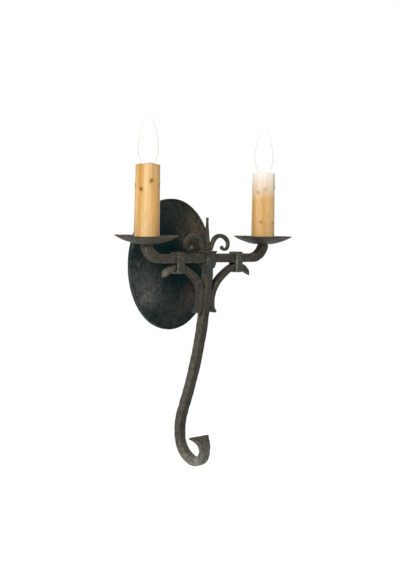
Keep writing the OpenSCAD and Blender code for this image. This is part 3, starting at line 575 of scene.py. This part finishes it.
def makeStem():
    bar, root = stemShape["bar"], stemShape["root"]
    width, edge = stemShape["fishtail"]
    headEnd, curveStart = stemShape["below"]
    foot = hubFoot / mm
    head = layPath((armY / mm, foot + root - headEnd), 270, [(0, root)], step=1.5)
    body = layPath((armY / mm, foot - curveStart), stemShape["heading"], stemShape["runs"], step=1.0)
    path = head + [(p, a, d + root + curveStart) for p, a, d in body]
    thick = [(0, bar), (0.86, bar), (0.91, 0.93 * bar), (0.95, 0.7 * bar), (0.98, 0.42 * bar), (1, edge)]
    wide = [(0, bar), (0.86, bar), (0.935, 1.15 * bar), (0.96, 1.6 * bar), (0.98, 0.7 * width), (1, width)]
    piece = forgeBar("stem_forged", path, thick, wide, middlePlace, seed=1.0)
    settle(piece, stemIron, "forged_iron", "sconce", "stem")


scrollShape = {
    "bar": 6.0,
    "out": 7.1,  # root from the middle
    "root": (0.15, 1.2),  # outwards and up from there to the start of the curve
    "heading": 74.0,
    "runs": [(54.5, -16), (17.5, -61), (21, -43), (10, -59.7), (7.6, -125.5)],
    "behind": 2.0,  # behind the arms' plane
    "eye": 0.55,  # radius of the ball at the end, as a share of the bar
}


def makeScroll(name, side):
    bar = scrollShape["bar"]
    top = hubTop / mm
    shift, rise = scrollShape["root"]
    place = sidePlace(side, scrollShape["behind"])
    root = [(Vector((scrollShape["out"], top + 0.05)), math.radians(90), 0.0)]
    start = (scrollShape["out"] + shift, top + rise)
    run = layPath(start, scrollShape["heading"], scrollShape["runs"], step=0.8)
    path = root + [(p, a, d + rise) for p, a, d in run]
    thick = [(0, 0.93 * bar), (0.12, 1.1 * bar), (0.55, 1.03 * bar), (0.85, 0.8 * bar), (1, 0.63 * bar)]
    wide = [(0, 1.15 * bar), (0.5, 1.1 * bar), (0.85, 0.9 * bar), (1, 0.75 * bar)]
    piece = forgeBar("scroll_forged_" + name, path, thick, wide, place,
                     cell=0.8, bevel=1.0, work=0.6, seed=3.0 + side)
    settle(piece, stemIron, "forged_iron", "sconce", "scroll_" + name)
    eye = path[-1][0]
    ball = roundKnob("scroll_eye_" + name, place(eye.x, eye.y, 0), scrollShape["eye"] * bar * mm)
    settle(ball, stemIron, "forged_iron", "sconce")


knobWork = {"levels": 24, "around": 32, "dent": 0.1, "dentSize": 4}  # dents in mm


def roundKnob(name, centre, radius):
    rings = []
    for i in range(1, knobWork["levels"]):
        tilt = math.pi * i / knobWork["levels"]
        reach, z = radius * math.sin(tilt), centre.z - radius * math.cos(tilt)
        rings.append([(centre.x + reach * math.cos(a), centre.y + reach * math.sin(a), z)
                      for a in fullTurn(knobWork["around"])])
    piece = ringSkin(name, rings)
    hammer(piece, knobWork["dent"] * mm, knobWork["dentSize"] * mm)
    return piece


bracketShape = {
    "bar": 8.5,
    "depth": 13.0,
    "tip": (93.2, -28.0),  # leaf tip from the arms' centre
    "heading": 128.6,
    "runs": [(44.5, 44), (10.5, 25.5), (94.6, 23.7), (44.6, 28.7), (43.7, 32.8), (15.7, 39.7)],
    "lean": (0.1327, 34.0),  # share by which it leans back with the stem, and from how far below the arm
    "foot": (0.45, 1.4),  # share of the bar and of the depth at the foot's end
    "leaf": {"left": 1.0, "right": 0.74},  # how broad the leaf is
}


def makeBracket(name, side):
    bar, depth = bracketShape["bar"], bracketShape["depth"]
    thin, broad = bracketShape["foot"]
    leaf = bracketShape["leaf"][name]
    start = (bracketShape["tip"][0], bracketShape["tip"][1] + armZ / mm)
    lean, leanFrom = bracketShape["lean"]
    upright = sidePlace(side)

    def place(out, up, depth):
        return upright(out, up, depth + lean * max(0.0, armZ / mm - leanFrom - up))

    path = layPath(start, bracketShape["heading"], bracketShape["runs"], step=1.0)
    thick = [(0, 1.8), (0.02, 4.2), (0.06, 0.82 * bar), (0.12, bar), (0.91, bar), (1, thin * bar)]
    wide = [(0, 2.4), (0.02, 6 * leaf), (0.06, 0.88 * leaf * depth), (0.12, 1.04 * leaf * depth)]
    wide += [(0.2, depth), (0.91, depth), (1, broad * depth)]
    piece = forgeBar("bracket_forged_" + name, path, thick, wide, place,
                     cell=1.0, bevel=1.0, work=0.8, seed=5.0 + side)
    settle(piece, bracketIron, "forged_iron", "sconce", "bracket_" + name)


armShape = {
    "bar": 14.0,
    "turn": 11.0,  # radius of the tight turn under the pan
    "swept": 55,  # degrees of the wide sweep before it
    "end": 0.2,  # straight end under the washer
    "root": 6.8,  # from the middle, inside the hub
}


def makeArm(name, side):
    bar, turn, swept = armShape["bar"], armShape["turn"], math.radians(armShape["swept"])
    rise = (armBox[1].z - armZ) / mm - armShape["end"]
    sweep = (rise - turn * math.cos(swept)) / (1 - math.cos(swept))
    run = sweep * math.sin(swept) + turn * (1 - math.sin(swept))
    straight = candleX / mm - run - armShape["root"]
    runs = [(0, straight), (sweep, armShape["swept"]), (turn, 90 - armShape["swept"]), (0, armShape["end"])]
    path = layPath((armShape["root"], armZ / mm), 0, runs, step=1.2)
    flat = [(0, bar), (1, bar)]
    piece = forgeBar("arm_forged_" + name, path, flat, flat, sidePlace(side), seed=9.0 + side)
    settle(piece, barIron, "forged_iron", "sconce", "arm_" + name)


spikeShape = {
    "high": 49.0,
    "bar": 8.4,
    "tip": 3.7,
    "ball": 2.5,
    "behind": 2.0,  # behind the arms' plane
}


def makeSpike():
    bar, high = spikeShape["bar"], spikeShape["high"]
    top = hubTop / mm
    place = sidePlace(1, spikeShape["behind"])
    taper = [(0, bar), (0.25, 0.89 * bar), (0.44, 0.76 * bar), (0.69, 0.57 * bar), (0.88, 0.47 * bar)]
    taper += [(1, spikeShape["tip"])]
    path = layPath((0, top), 90, [(0, high)], step=0.9)
    piece = forgeBar("spike_forged", path, taper, taper, place, cell=0.8, bevel=0.9, work=0.6, seed=12.0)
    settle(piece, barIron, "forged_iron", "sconce", "spike")
    ball = roundKnob("spike_ball", place(0, top + high, 0), spikeShape["ball"] * mm)
    settle(ball, barIron, "forged_iron", "sconce")


makeStem()
makeSpike()
for name, side in sides.items():
    makeScroll(name, side)
    makeBracket(name, side)
    makeArm(name, side)
print("bars forged")


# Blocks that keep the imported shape, with their edges rounded and their faces hammered
blockWork = {
    "dent": 0.16,  # mm
    "dentSize": 7.0,  # mm
    "smooth": 0.5,  # share of each smoothing pass
}


def forgeBlock(nodeName, finish, cell=0.5, passes=2):
    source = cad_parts[nodeName]
    piece = bpy.data.objects.new(nodeName + "_forged", source.data.copy())
    scene.collection.objects.link(piece)
    remesh = piece.modifiers.new("remesh", "REMESH")
    remesh.mode = "VOXEL"
    remesh.voxel_size = cell * mm
    smooth = piece.modifiers.new("smooth", "SMOOTH")
    smooth.factor = blockWork["smooth"]
    smooth.iterations = passes
    bpy.context.view_layer.update()
    made = piece.evaluated_get(bpy.context.evaluated_depsgraph_get())
    piece.data = bpy.data.meshes.new_from_object(made)
    piece.modifiers.clear()
    piece.data.shade_smooth()
    hammer(piece, blockWork["dent"] * mm, blockWork["dentSize"] * mm)
    settle(piece, finish, "forged_iron", "sconce", nodeName)


forgeBlock("hub", stemIron)
for nodeName in ("collar_left", "collar_right"):
    forgeBlock(nodeName, bandIron, cell=0.36, passes=1)
for nodeName in ("pan_washer_left", "pan_washer_right", "standoff_tube"):
    forgeBlock(nodeName, barIron)


# Weld that fills each collar round its bracket
weldShape = {
    "recess": 1.2,  # mm inside the collar's ends
    "depth": 13.4,
    "wall": 2.9,  # of the collar below it
    "lap": 0.2,  # into the arm above it
    "round": 0.8,  # mm that its ends are lower
}


def makeWeld(name, side):
    low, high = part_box("collar_" + name)
    half = (high.x - low.x) / 2 / mm - weldShape["recess"]
    top = armZ / mm - armShape["bar"] / 2 + weldShape["lap"]
    bottom = low.z / mm + weldShape["wall"]
    middle = abs(low.x + high.x) / 2 / mm
    path = layPath((middle - half, (top + bottom) / 2), 0, [(0, 2 * half)], step=1.0)
    full = top - bottom
    ends = full - weldShape["round"]
    thick = [(0, ends), (0.12, full), (0.88, full), (1, ends)]
    wide = [(0, weldShape["depth"]), (1, weldShape["depth"])]
    piece = forgeBar("weld_" + name, path, thick, wide, sidePlace(side),
                     cell=1.0, bevel=1.4, seed=15.0 + side)
    settle(piece, stemIron, "forged_iron", "sconce")


for name, side in sides.items():
    makeWeld(name, side)
print("blocks forged")


# Oval wall plate: hammered dome with a turned-back edge
plateShape = {
    "edge": 6.5,
    "dome": 10.5,
    "sheet": 1.6,
    "curve": 2.2,  # how late the dome falls off
    "domeEnd": 0.965,  # share of the outline
    "seat": 14.0,
    "seatRings": (4, 1),  # mm inside the seat's edge
    "hole": 5.2,
    # a groove, then the rolled rim: share of the outline, and mm behind the edge
    "groove": [(0.970, -0.1), (0.976, -0.1), (0.981, -0.75), (0.989, -0.7), (0.996, 0), (1, 1.2)],
    "side": (-3.5, -1.8, 0),  # the rim's side back to the wall
    "dent": 0.3,
    "dentSize": 15.0,
    "drift": 0.25,
    "steps": 56,
    "around": 168,
}


def makePlate():
    shape = plateShape
    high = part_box("wall_plate")[1]
    halfWide, halfHigh = high.x / mm, high.z / mm
    edge, dome, sheet = shape["edge"], shape["dome"], shape["sheet"]
    seat, steps = shape["seat"], shape["steps"]
    middle = armZ / mm
    angles = fullTurn(shape["around"])

    def oval(f, inset, depth):
        wide, tall, rise = f * (halfWide - inset), f * (halfHigh - inset), middle * (1 - f)
        return [Vector((wide * math.cos(a), depth, tall * math.sin(a) + rise)) * mm for a in angles]

    def circle(r, depth):
        return [Vector((r * math.cos(a), depth, middle + r * math.sin(a))) * mm for a in angles]

    def front(f):
        return -(edge + dome * (1 - f ** shape["curve"]))

    start = seat / halfWide
    shares = [start + (shape["domeEnd"] - start) * (k / steps) for k in range(steps + 1)]
    skirt = [(f, d - edge) for f, d in shape["groove"]] + [(1, d) for d in shape["side"]]
    flat = [shape["hole"]] + [seat - inset for inset in shape["seatRings"]]
    top = -(edge + dome)
    outside = [circle(r, top) for r in flat]
    outside += [oval(f, 0, front(f)) for f in shares] + [oval(f, 0, d) for f, d in skirt]
    inside = [oval(f, sheet, min(d + sheet, 0)) for f, d in reversed(skirt)]
    inside += [oval(f, sheet, front(f) + sheet) for f in reversed(shares)]
    inside += [circle(r, top + sheet) for r in (flat[2], flat[0])]
    piece = ringSkin("wall_plate_forged", outside + inside, join=True)
    fixNormals(piece)
    hammer(piece, shape["dent"] * mm, shape["dentSize"] * mm, shape["drift"] * mm, seed=21.0)
    settle(piece, plateIron, "forged_iron", "sconce", "wall_plate")


makePlate()


# Drip pans
panShape = {
    "rim": 47.0,
    "floor": 13.0,
    "depth": 11.9,
    "sheet": 1.6,
    "hole": 5.2,
    "lip": [(0.4, 0.3), (0.45, 0.7), (-0.1, 1)],  # mm beyond the rim, and share of the sheet
    "flank": 0.6,  # share of the rim's radius where its wave and dip begin
    "wave": 0.5,  # mm that the rim rises and falls
    "dip": {"left": 1.9, "right": 0.3},  # mm that the rim is beaten down at its front left
    "dipAt": 226,  # degrees round
    "dent": 0.22,
    "dentSize": 9.0,
    "steps": 34,
    "around": 144,
}


def panCurve(r):
    rim, floor, depth = panShape["rim"], panShape["floor"], panShape["depth"]
    if r <= floor:
        return 0.0
    lift = (rim * rim - floor * floor - depth * depth) / (2 * depth)
    return depth + lift - math.sqrt(rim * rim + lift * lift - r * r)


def makePan(name, side):
    shape = panShape
    rim, hole, steps, sheet = shape["rim"], shape["hole"], shape["steps"], shape["sheet"]
    radii = [hole + (rim - hole) * k / steps for k in range(steps + 1)]
    rows = [(r, panCurve(r)) for r in radii]
    rows += [(rim + out, shape["depth"] + f * sheet) for out, f in shape["lip"]]
    rows += [(r, panCurve(r) + sheet) for r in reversed(radii[:-1])]
    low = math.radians(shape["dipAt"])
    dip = shape["dip"][name] / (1 - shape["flank"])
    rings = []
    for r, z in rows:
        outer = max(0, r / rim - shape["flank"])
        ring = []
        for a in fullTurn(shape["around"]):
            lift = shape["wave"] * outer * noise.noise(Vector((math.cos(a), math.sin(a), side * 3)))
            lift -= dip * outer * max(0, math.cos(a - low)) ** 2
            ring.append(((side * candleX / mm + r * math.cos(a)) * mm, armY + r * math.sin(a) * mm,
                         panZ + (z + lift) * mm))
        rings.append(ring)
    piece = ringSkin("pan_forged_" + name, rings, join=True)
    fixNormals(piece)
    hammer(piece, shape["dent"] * mm, shape["dentSize"] * mm, seed=30.0 + side)
    settle(piece, barIron, "forged_iron", "sconce", "pan_" + name)


for name, side in sides.items():
    makePan(name, side)
print("plate and pans forged")


# Resin candle sleeves with wax drips
sleeveShape = {
    "footR": 19.0,
    "topR": 18.0,
    "boreR": 16.0,
    "wobble": (0.22, 1.3, 55),  # mm, how fine it is round the sleeve, and its length along it
    "flute": (0.3, 4, 80),  # the same
    "inset": 0.1,  # mm that the wall stays inside these radii
    "topWave": (1.3, 1.6, 0.3),  # mm that the top rises and falls, how fine, and mm that it is lower
    "topSpan": 12,  # mm below the top over which that grows
    "crown": {"left": 1.6, "right": 0.0},  # mm that the top rises at the front
    "lip": (1.2, 0.9),  # height of the rounded top edge, and how far it goes in
    "front": 44,  # degrees to the left of straight ahead, where the marks' angles start
    "rows": 120,
    "boreRows": 10,
    "around": 200,
}
dripShape = {
    "wide": 2.6,
    "high": 1.1,
    "wander": (0.5, 12),  # mm to the sides, and over what length
    "broad": (0.7, 0.5, 8),  # share of the width along it, what its end adds, and over what length
    "thick": (0.55, 0.6),  # share of the height along it, and what the swell adds
    "end": 0.7,  # mm over which a drip ends
    "swell": (2.2, 2.4),  # how far above its end it is thickest, and over what length
    "stain": (0.6, 3.6, 2.6),  # how far below its end the painted shadow lies, its length and its width
    "flank": (0.8, 0.4),  # width and share of the painted shade along its side
}
# Each drip: degrees round from the front (right positive), its end below the top, and the strength of the
# painted shadow under it
drips = {
    "left": [(19, 24, 1.0), (-27, 36, 1.0), (-72, 31, 1.0), (74, 30, 0.7), (130, 40, 0.6), (-130, 26, 0.6),
             (178, 48, 0.7)],
    "right": [(-31, 32, 0.8), (7, 26, 0.7), (-86, 26, 0.9), (84, 27, 0.8), (50, 82, 0.5), (-14, 80, 0.4),
              (140, 44, 0.6), (-140, 60, 0.6)],
}
# Darker streaks, with painted shade on the sides: degrees round, half width in degrees, strength
streakShades = {
    "left": [(-82, 18, 0.7), (150, 30, 0.4)],
    "right": [(-62, 28, 0.65), (84, 16, 0.5), (170, 30, 0.4)],
}
# How far down the light of the bulb washes the sleeve out: from and to, in mm below its top
glowReach = {"left": (0.0, 0.6), "right": (2.0, 46.0)}
# Painted shade at the top: its share, and how far down it fades out in mm; the edge takes more of it
topShadeReach = {"left": (0.13, 38.0), "right": (0.0, 1.0)}
topShadeEdge = 4
# How much the streaks' width varies, and over what length
streakShadeWander = (0.3, 17)


def makeSleeve(name, side):
    shape, drip = sleeveShape, dripShape
    high = (sleeveTop - sleeveFoot) / mm
    front = math.radians(shape["front"])
    facing = math.atan2(-math.cos(front), -math.sin(front))
    marks = [(facing + math.radians(turn), high - drop, stain) for turn, drop, stain in drips[name]]
    sway, swayRun = drip["wander"]
    slim, endAdds, endLong = drip["broad"]
    level, swellAdds = drip["thick"]
    swellAt, swellLong = drip["swell"]
    dripShadeAt, dripShadeLong, dripShadeWide = drip["stain"]
    flankWide, flankShare = drip["flank"]
    lipHigh, lipIn = shape["lip"]
    topWave, topFine, topLow = shape["topWave"]
    topShade, topShadeLong = topShadeReach[name]
    near, far = glowReach[name]
    dripShades = []
    glows = []
    streakShadeValues = []

    def ripple(kind, angle, z, shift):
        much, fine, long = shape[kind]
        spot = Vector((math.cos(angle) * fine, math.sin(angle) * fine, z / long))
        return much * noise.noise(spot + Vector(shift))

    def wall(angle, z):
        # radius of the outside, and how much painted shadow and shade it takes
        f = z / high
        r = shape["footR"] + (shape["topR"] - shape["footR"]) * f
        r += ripple("wobble", angle, z, (side * 5, 0, 0)) - shape["inset"]
        r += ripple("flute", angle, z, (0, 0, side))
        dark = 0.0
        for at, end, stain in marks:
            turn = (angle - at + math.pi) % (2 * math.pi) - math.pi
            off = turn * r - sway * noise.noise(Vector((z / swayRun, at * 7, 1)))
            above = z - end
            width = drip["wide"] * (slim + endAdds * max(0, 1 - abs(above) / endLong))
            ridge = math.exp(-(off / width) ** 2)
            length = 1 / (1 + math.exp(-above / drip["end"]))
            swell = math.exp(-((above - swellAt) / swellLong) ** 2)
            r += drip["high"] * ridge * length * (level + swellAdds * swell)
            below = math.exp(-((above + dripShadeAt) / dripShadeLong) ** 2) * math.exp(-(off / dripShadeWide) ** 2)
            flank = math.exp(-((off + width) / flankWide) ** 2) * length
            dark = max(dark, stain * below, flankShare * stain * flank)
        # painted shade, more towards the top and most at its edge
        dark = max(dark, topShade * max(0.0, 1 - (high - z) / topShadeLong))
        if z > high - lipHigh:
            r -= lipIn * ((z - high + lipHigh) / lipHigh) ** 2
            dark = max(dark, topShadeEdge * topShade)
        return r, dark

    def streakShadeAt(angle, z):
        turn = math.degrees(angle - facing)
        wander, wanderLong = streakShadeWander
        most = 0.0
        for at, half, much in streakShades[name]:
            reach = half * (1 + wander * math.sin(z / wanderLong + at))
            off = abs((turn - at + 180) % 360 - 180) / reach
            most = max(most, much * (1 - off * off))
        return most

    def ringAt(z, radius, lift=0.0):
        # lift is the share of the top's wave and crown that reaches down to z
        ring = []
        for a in fullTurn(shape["around"]):
            wavy = noise.noise(Vector((math.cos(a) * topFine, math.sin(a) * topFine, side * 9)))
            wave = topWave * wavy - topLow
            wave += shape["crown"][name] * max(0, math.cos(a - facing)) ** 3
            up = z + wave * lift
            r, dark = wall(a, min(z, high)) if radius is None else (radius, 0.0)
            dripShades.append(dark)
            glows.append(min(1.0, max(0.0, (far - (high - z)) / max(far - near, 0.1))))
            streakShadeValues.append(streakShadeAt(a, z))
            ring.append(((side * candleX / mm + r * math.cos(a)) * mm, armY + r * math.sin(a) * mm,
                         sleeveFoot + up * mm))
        return ring

    bore, rows, boreRows = shape["boreR"], shape["rows"], shape["boreRows"]
    rings = [ringAt(0, bore), ringAt(0, (bore + shape["footR"]) / 2)]
    for k in range(rows + 1):
        z = high * k / rows
        rings.append(ringAt(z, None, max(0, (z - high + shape["topSpan"]) / shape["topSpan"])))
    rings.append(ringAt(high, (bore + shape["topR"]) / 2 - 0.2, 1.0))
    rings += [ringAt(high * k / boreRows, bore, k // boreRows) for k in range(boreRows, 0, -1)]
    piece = ringSkin("sleeve_resin_" + name, rings, join=True)
    for label, values in (("stain", dripShades), ("glow", glows), ("tan", streakShadeValues)):
        layer = piece.data.attributes.new(label, "FLOAT", "POINT")
        layer.data.foreach_set("value", values)
    fixNormals(piece)
    settle(piece, resinFinish, "candle_resin", "sleeve_" + name, "sleeve_" + name)


for name, side in sides.items():
    makeSleeve(name, side)
print("sleeves cast")


# Bulb envelopes
bulbShape = {
    "neck": 6.65,
    "widest": 15.5,
    "belly": 31.0,
    "high": 85.0,
    "roundness": 0.8,  # below 1 the flame is fuller
    "glass": 0.8,
    "collar": (5.3, 5),  # radius and length of the part inside the cap
    "tip": (0.35, 0.7),  # radius of the tip, and how far it stands above
    "steps": 48,
    "around": 72,
}


def bulbRadius(z):
    shape = bulbShape
    neck, widest, belly = shape["neck"], shape["widest"], shape["belly"]
    if z < belly:
        return neck + (widest - neck) * (1 - math.cos(math.pi * z / belly)) / 2
    t = min((z - belly) / (shape["high"] - belly), 1)
    return 1 + (widest - 1) * math.cos(math.pi / 2 * t) ** shape["roundness"]


def makeBulb(name):
    shape = bulbShape
    low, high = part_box("bulb_glass_" + name)
    centre = ((low.x + high.x) / 2, (low.y + high.y) / 2)
    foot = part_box("bulb_cap_" + name)[1].z + 0.1 * mm
    top, glass, steps = shape["high"], shape["glass"], shape["steps"]
    collarR, collarLong = shape["collar"]
    tipR, tipRise = shape["tip"]
    levels = [top * (1 - (1 - k / steps) ** 1.5) for k in range(steps + 1)]
    outside = [(collarR, -collarLong), (collarR, -0.05)] + [(bulbRadius(z), z) for z in levels]
    outside += [(tipR, top + tipRise)]
    inside = [(max(bulbRadius(z) - glass, 0.2), z) for z in reversed(levels) if z < top - 2]
    inside += [(collarR - glass, -0.5), (collarR - glass, -collarLong)]
    profile = [(r * mm, foot + z * mm) for r, z in outside + inside]
    piece = lathe("bulb_envelope_" + name, profile, centre, shape["around"])
    fixNormals(piece)
    settle(piece, bulbFinish, "bulb_glass", "bulb_" + name, "bulb_glass_" + name)


# Threads of the bulb caps and of the nipples, in mm
capThread = {"outer": 5.95, "inner": 5.35, "pitch": 2.54, "deep": 0.45}
nippleThread = {"outer": 4.9, "inner": 3.3, "pitch": 1.4, "deep": 0.4}
threadWork = {"around": 48, "perPitch": 10, "fade": 1.2}  # fade is the mm at each end without a full thread


def threadedTube(name, nodeName, thread, body, axis="z"):
    low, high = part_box(nodeName)
    middle = (low + high) / 2
    length = (high.z - low.z if axis == "z" else high.y - low.y) / mm
    start = low.z if axis == "z" else low.y
    pitch, around, fade = thread["pitch"], threadWork["around"], threadWork["fade"]
    rows = math.ceil(length / pitch * threadWork["perPitch"])
    angles = fullTurn(around)

    def spot(angle, r, along):
        u, v = r * math.cos(angle) * mm, r * math.sin(angle) * mm
        if axis == "z":
            return (middle.x + u, middle.y + v, start + along * mm)
        return (middle.x + u, start + along * mm, middle.z + v)

    rings = []
    for i in range(rows + 1):
        along = length * i / rows
        full = max(0, min(1, along / fade, (length - along) / fade))
        ring = []
        for j, a in enumerate(angles):
            crest = 0.5 * (1 + math.cos(2 * math.pi * (along / pitch - j / around)))
            ring.append(spot(a, thread["outer"] - thread["deep"] * (1 - full * crest), along))
        rings.append(ring)
    rings += [[spot(a, thread["inner"], length * k) for a in angles] for k in (1, 0)]
    piece = ringSkin(name, rings, join=True)
    fixNormals(piece)
    settle(piece, brassMetal, "brass_parts", body, nodeName)


for name in sides:
    makeBulb(name)
    threadedTube("cap_threaded_" + name, "bulb_cap_" + name, capThread, "bulb_" + name)
    threadedTube("riser_threaded_" + name, "riser_nipple_" + name, nippleThread, "sconce")
threadedTube("centre_threaded", "centre_nipple", nippleThread, "sconce", "y")
print("bulbs blown and threads cut")


# Ribbed twist-on connectors behind the plate
connectorShape = {
    "wide": 4.4,
    "tip": 3.4,
    "bore": 2.3,
    "core": 0.4,  # radius where the end closes, and where the bore does
    "length": 17.0,
    "boreLong": 9.0,
    "round": (0.5, 0.08),  # mm that the tip is rounded, and share of the length
    "ribs": 10,
    "ribDeep": 0.4,
    "ribFade": (0.2, 0.1, 0.08),  # shares: where ribs start, how fast they rise, how fast they end
    "steps": 16,
    "around": 80,
}


def makeConnector(end, sign, *nodes):
    shape = connectorShape
    low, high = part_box("wire_connectors")
    centre = (low + high) / 2
    long, boreLong, steps = shape["length"], shape["boreLong"], shape["steps"]
    near = armZ + sign * ((high.z - low.z) / 2 - long * mm)
    roundIn, roundLong = shape["round"]
    ribStart, ribRise, ribEnd = shape["ribFade"]
    rings = []

    def ring(r, along, rib):
        spots = []
        for a in fullTurn(shape["around"]):
            cut = rib * shape["ribDeep"] * (0.5 + 0.5 * math.cos(shape["ribs"] * a))
            spots.append((centre.x + (r - cut) * math.cos(a) * mm, centre.y + (r - cut) * math.sin(a) * mm,
                          near + sign * along * mm))
        return spots

    for k in range(steps + 1):
        f = k / steps
        rib = max(0.0, min(1.0, (f - ribStart) / ribRise, (1 - f) / ribEnd))
        r = shape["wide"] + (shape["tip"] - shape["wide"]) * f
        r -= roundIn * max(0, f - (1 - roundLong)) / roundLong
        rings.append(ring(r, long * f, rib))
    rings += [ring(shape["core"], long, 0), ring(shape["core"], boreLong, 0)]
    rings += [ring(shape["bore"], boreLong, 0), ring(shape["bore"], 0, 0)]
    piece = ringSkin("connector_ribbed_" + end, rings, join=True)
    fixNormals(piece)
    settle(piece, connectorPlastic, "connector_plastic", "sconce", *nodes)


makeConnector("upper", 1, "wire_connectors")
makeConnector("lower", -1)


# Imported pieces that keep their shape
nodeFinishes = {
    "mounting_strap": zincSteel, "pan_nut": zincSteel, "socket_post": zincSteel, "bulb_contact": zincSteel,
    "earth_screw": greenScrew, "plate_screws": plateIron, "plate_nut": brassMetal, "socket_shell": brassMetal,
    "socket_contact": brassMetal, "socket_body": socketPlastic, "bulb_insulator": blackGlass,
    "bulb_mount": mountFinish, "filament": filamentFinish, "lead_hot": blackLead, "lead_neutral": whiteLead,
    "earth_wire": copperMetal,
}
for nodeName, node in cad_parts.items():
    if node.hide_render:
        continue
    stem = nodeName.replace("_left", "").replace("_right", "")
    node.data.materials.clear()
    node.data.materials.append(nodeFinishes[stem])
print("packed pieces finished")


# Stage: pale floor, white surroundings and soft lamps
stageSetup = {
    "floor": -0.75,
    "floorHalf": 9.0,
    "floorLift": 0.8,
    "ambient": 0.2,
    "aim": 0.02,  # height that the lamps face
    "lamps": [
        # place, size, watts
        ((-2.0, -1.06, 0.8), 0.9, 41),
        ((1.5, -1.5, 0.4), 1.1, 7.5),
        ((-0.7, 1.9, 0.9), 1.2, 7),
    ],
}


def backgroundShare(tree):
    # 1 for rays that come from the camera, a gloss or a glass, 0 for all others
    rays = addNode(tree, "ShaderNodeLightPath").outputs
    both = joinValues(tree, "MAXIMUM", rays["Is Camera Ray"], rays["Is Glossy Ray"])
    return joinValues(tree, "MAXIMUM", both, rays["Is Transmission Ray"])


def makeStage():
    world = bpy.data.worlds.new("surround")
    scene.world = world
    world.use_nodes = True
    tree = world.node_tree
    strength = addNode(tree, "ShaderNodeMapRange", Value=backgroundShare(tree),
                       To_Min=stageSetup["ambient"], To_Max=1.0)
    tree.nodes["Background"].inputs["Color"].default_value = (1, 1, 1, 1)
    tree.links.new(strength.outputs["Result"], tree.nodes["Background"].inputs["Strength"])

    half, level = stageSetup["floorHalf"], stageSetup["floor"]
    corners = [(x * half, y * half, level) for x, y in ((-1, -1), (1, -1), (1, 1), (-1, 1))]
    floor = newPiece("floor", corners, [(0, 1, 2, 3)])
    finish, tree, shader = newFinish("floorPaint", 0.9, specular=0.1)
    paint = spread(tree, grain(tree, 3, 2), [(0.3, tone(238, 238, 236)), (0.7, tone(244, 244, 242))])
    tree.links.new(paint, shader.inputs["Base Color"])
    shader.inputs["Emission Color"].default_value = (1, 1, 1, 1)
    lift = joinValues(tree, "MULTIPLY", backgroundShare(tree), stageSetup["floorLift"])
    tree.links.new(lift, shader.inputs["Emission Strength"])
    floor.data.materials.append(finish)

    target = Vector((0, armY, stageSetup["aim"]))
    for index, (place, size, watts) in enumerate(stageSetup["lamps"]):
        lamp = bpy.data.lights.new("softbox%d" % index, "AREA")
        lamp.shape = "DISK"
        lamp.size = size
        lamp.energy = watts
        holder = bpy.data.objects.new(lamp.name, lamp)
        scene.collection.objects.link(holder)
        holder.location = place
        holder.rotation_mode = "QUATERNION"
        holder.rotation_quaternion = (Vector(place) - target).to_track_quat("Z", "Y")
    scene.view_settings.view_transform = "Standard"


makeStage()
print("stage set")
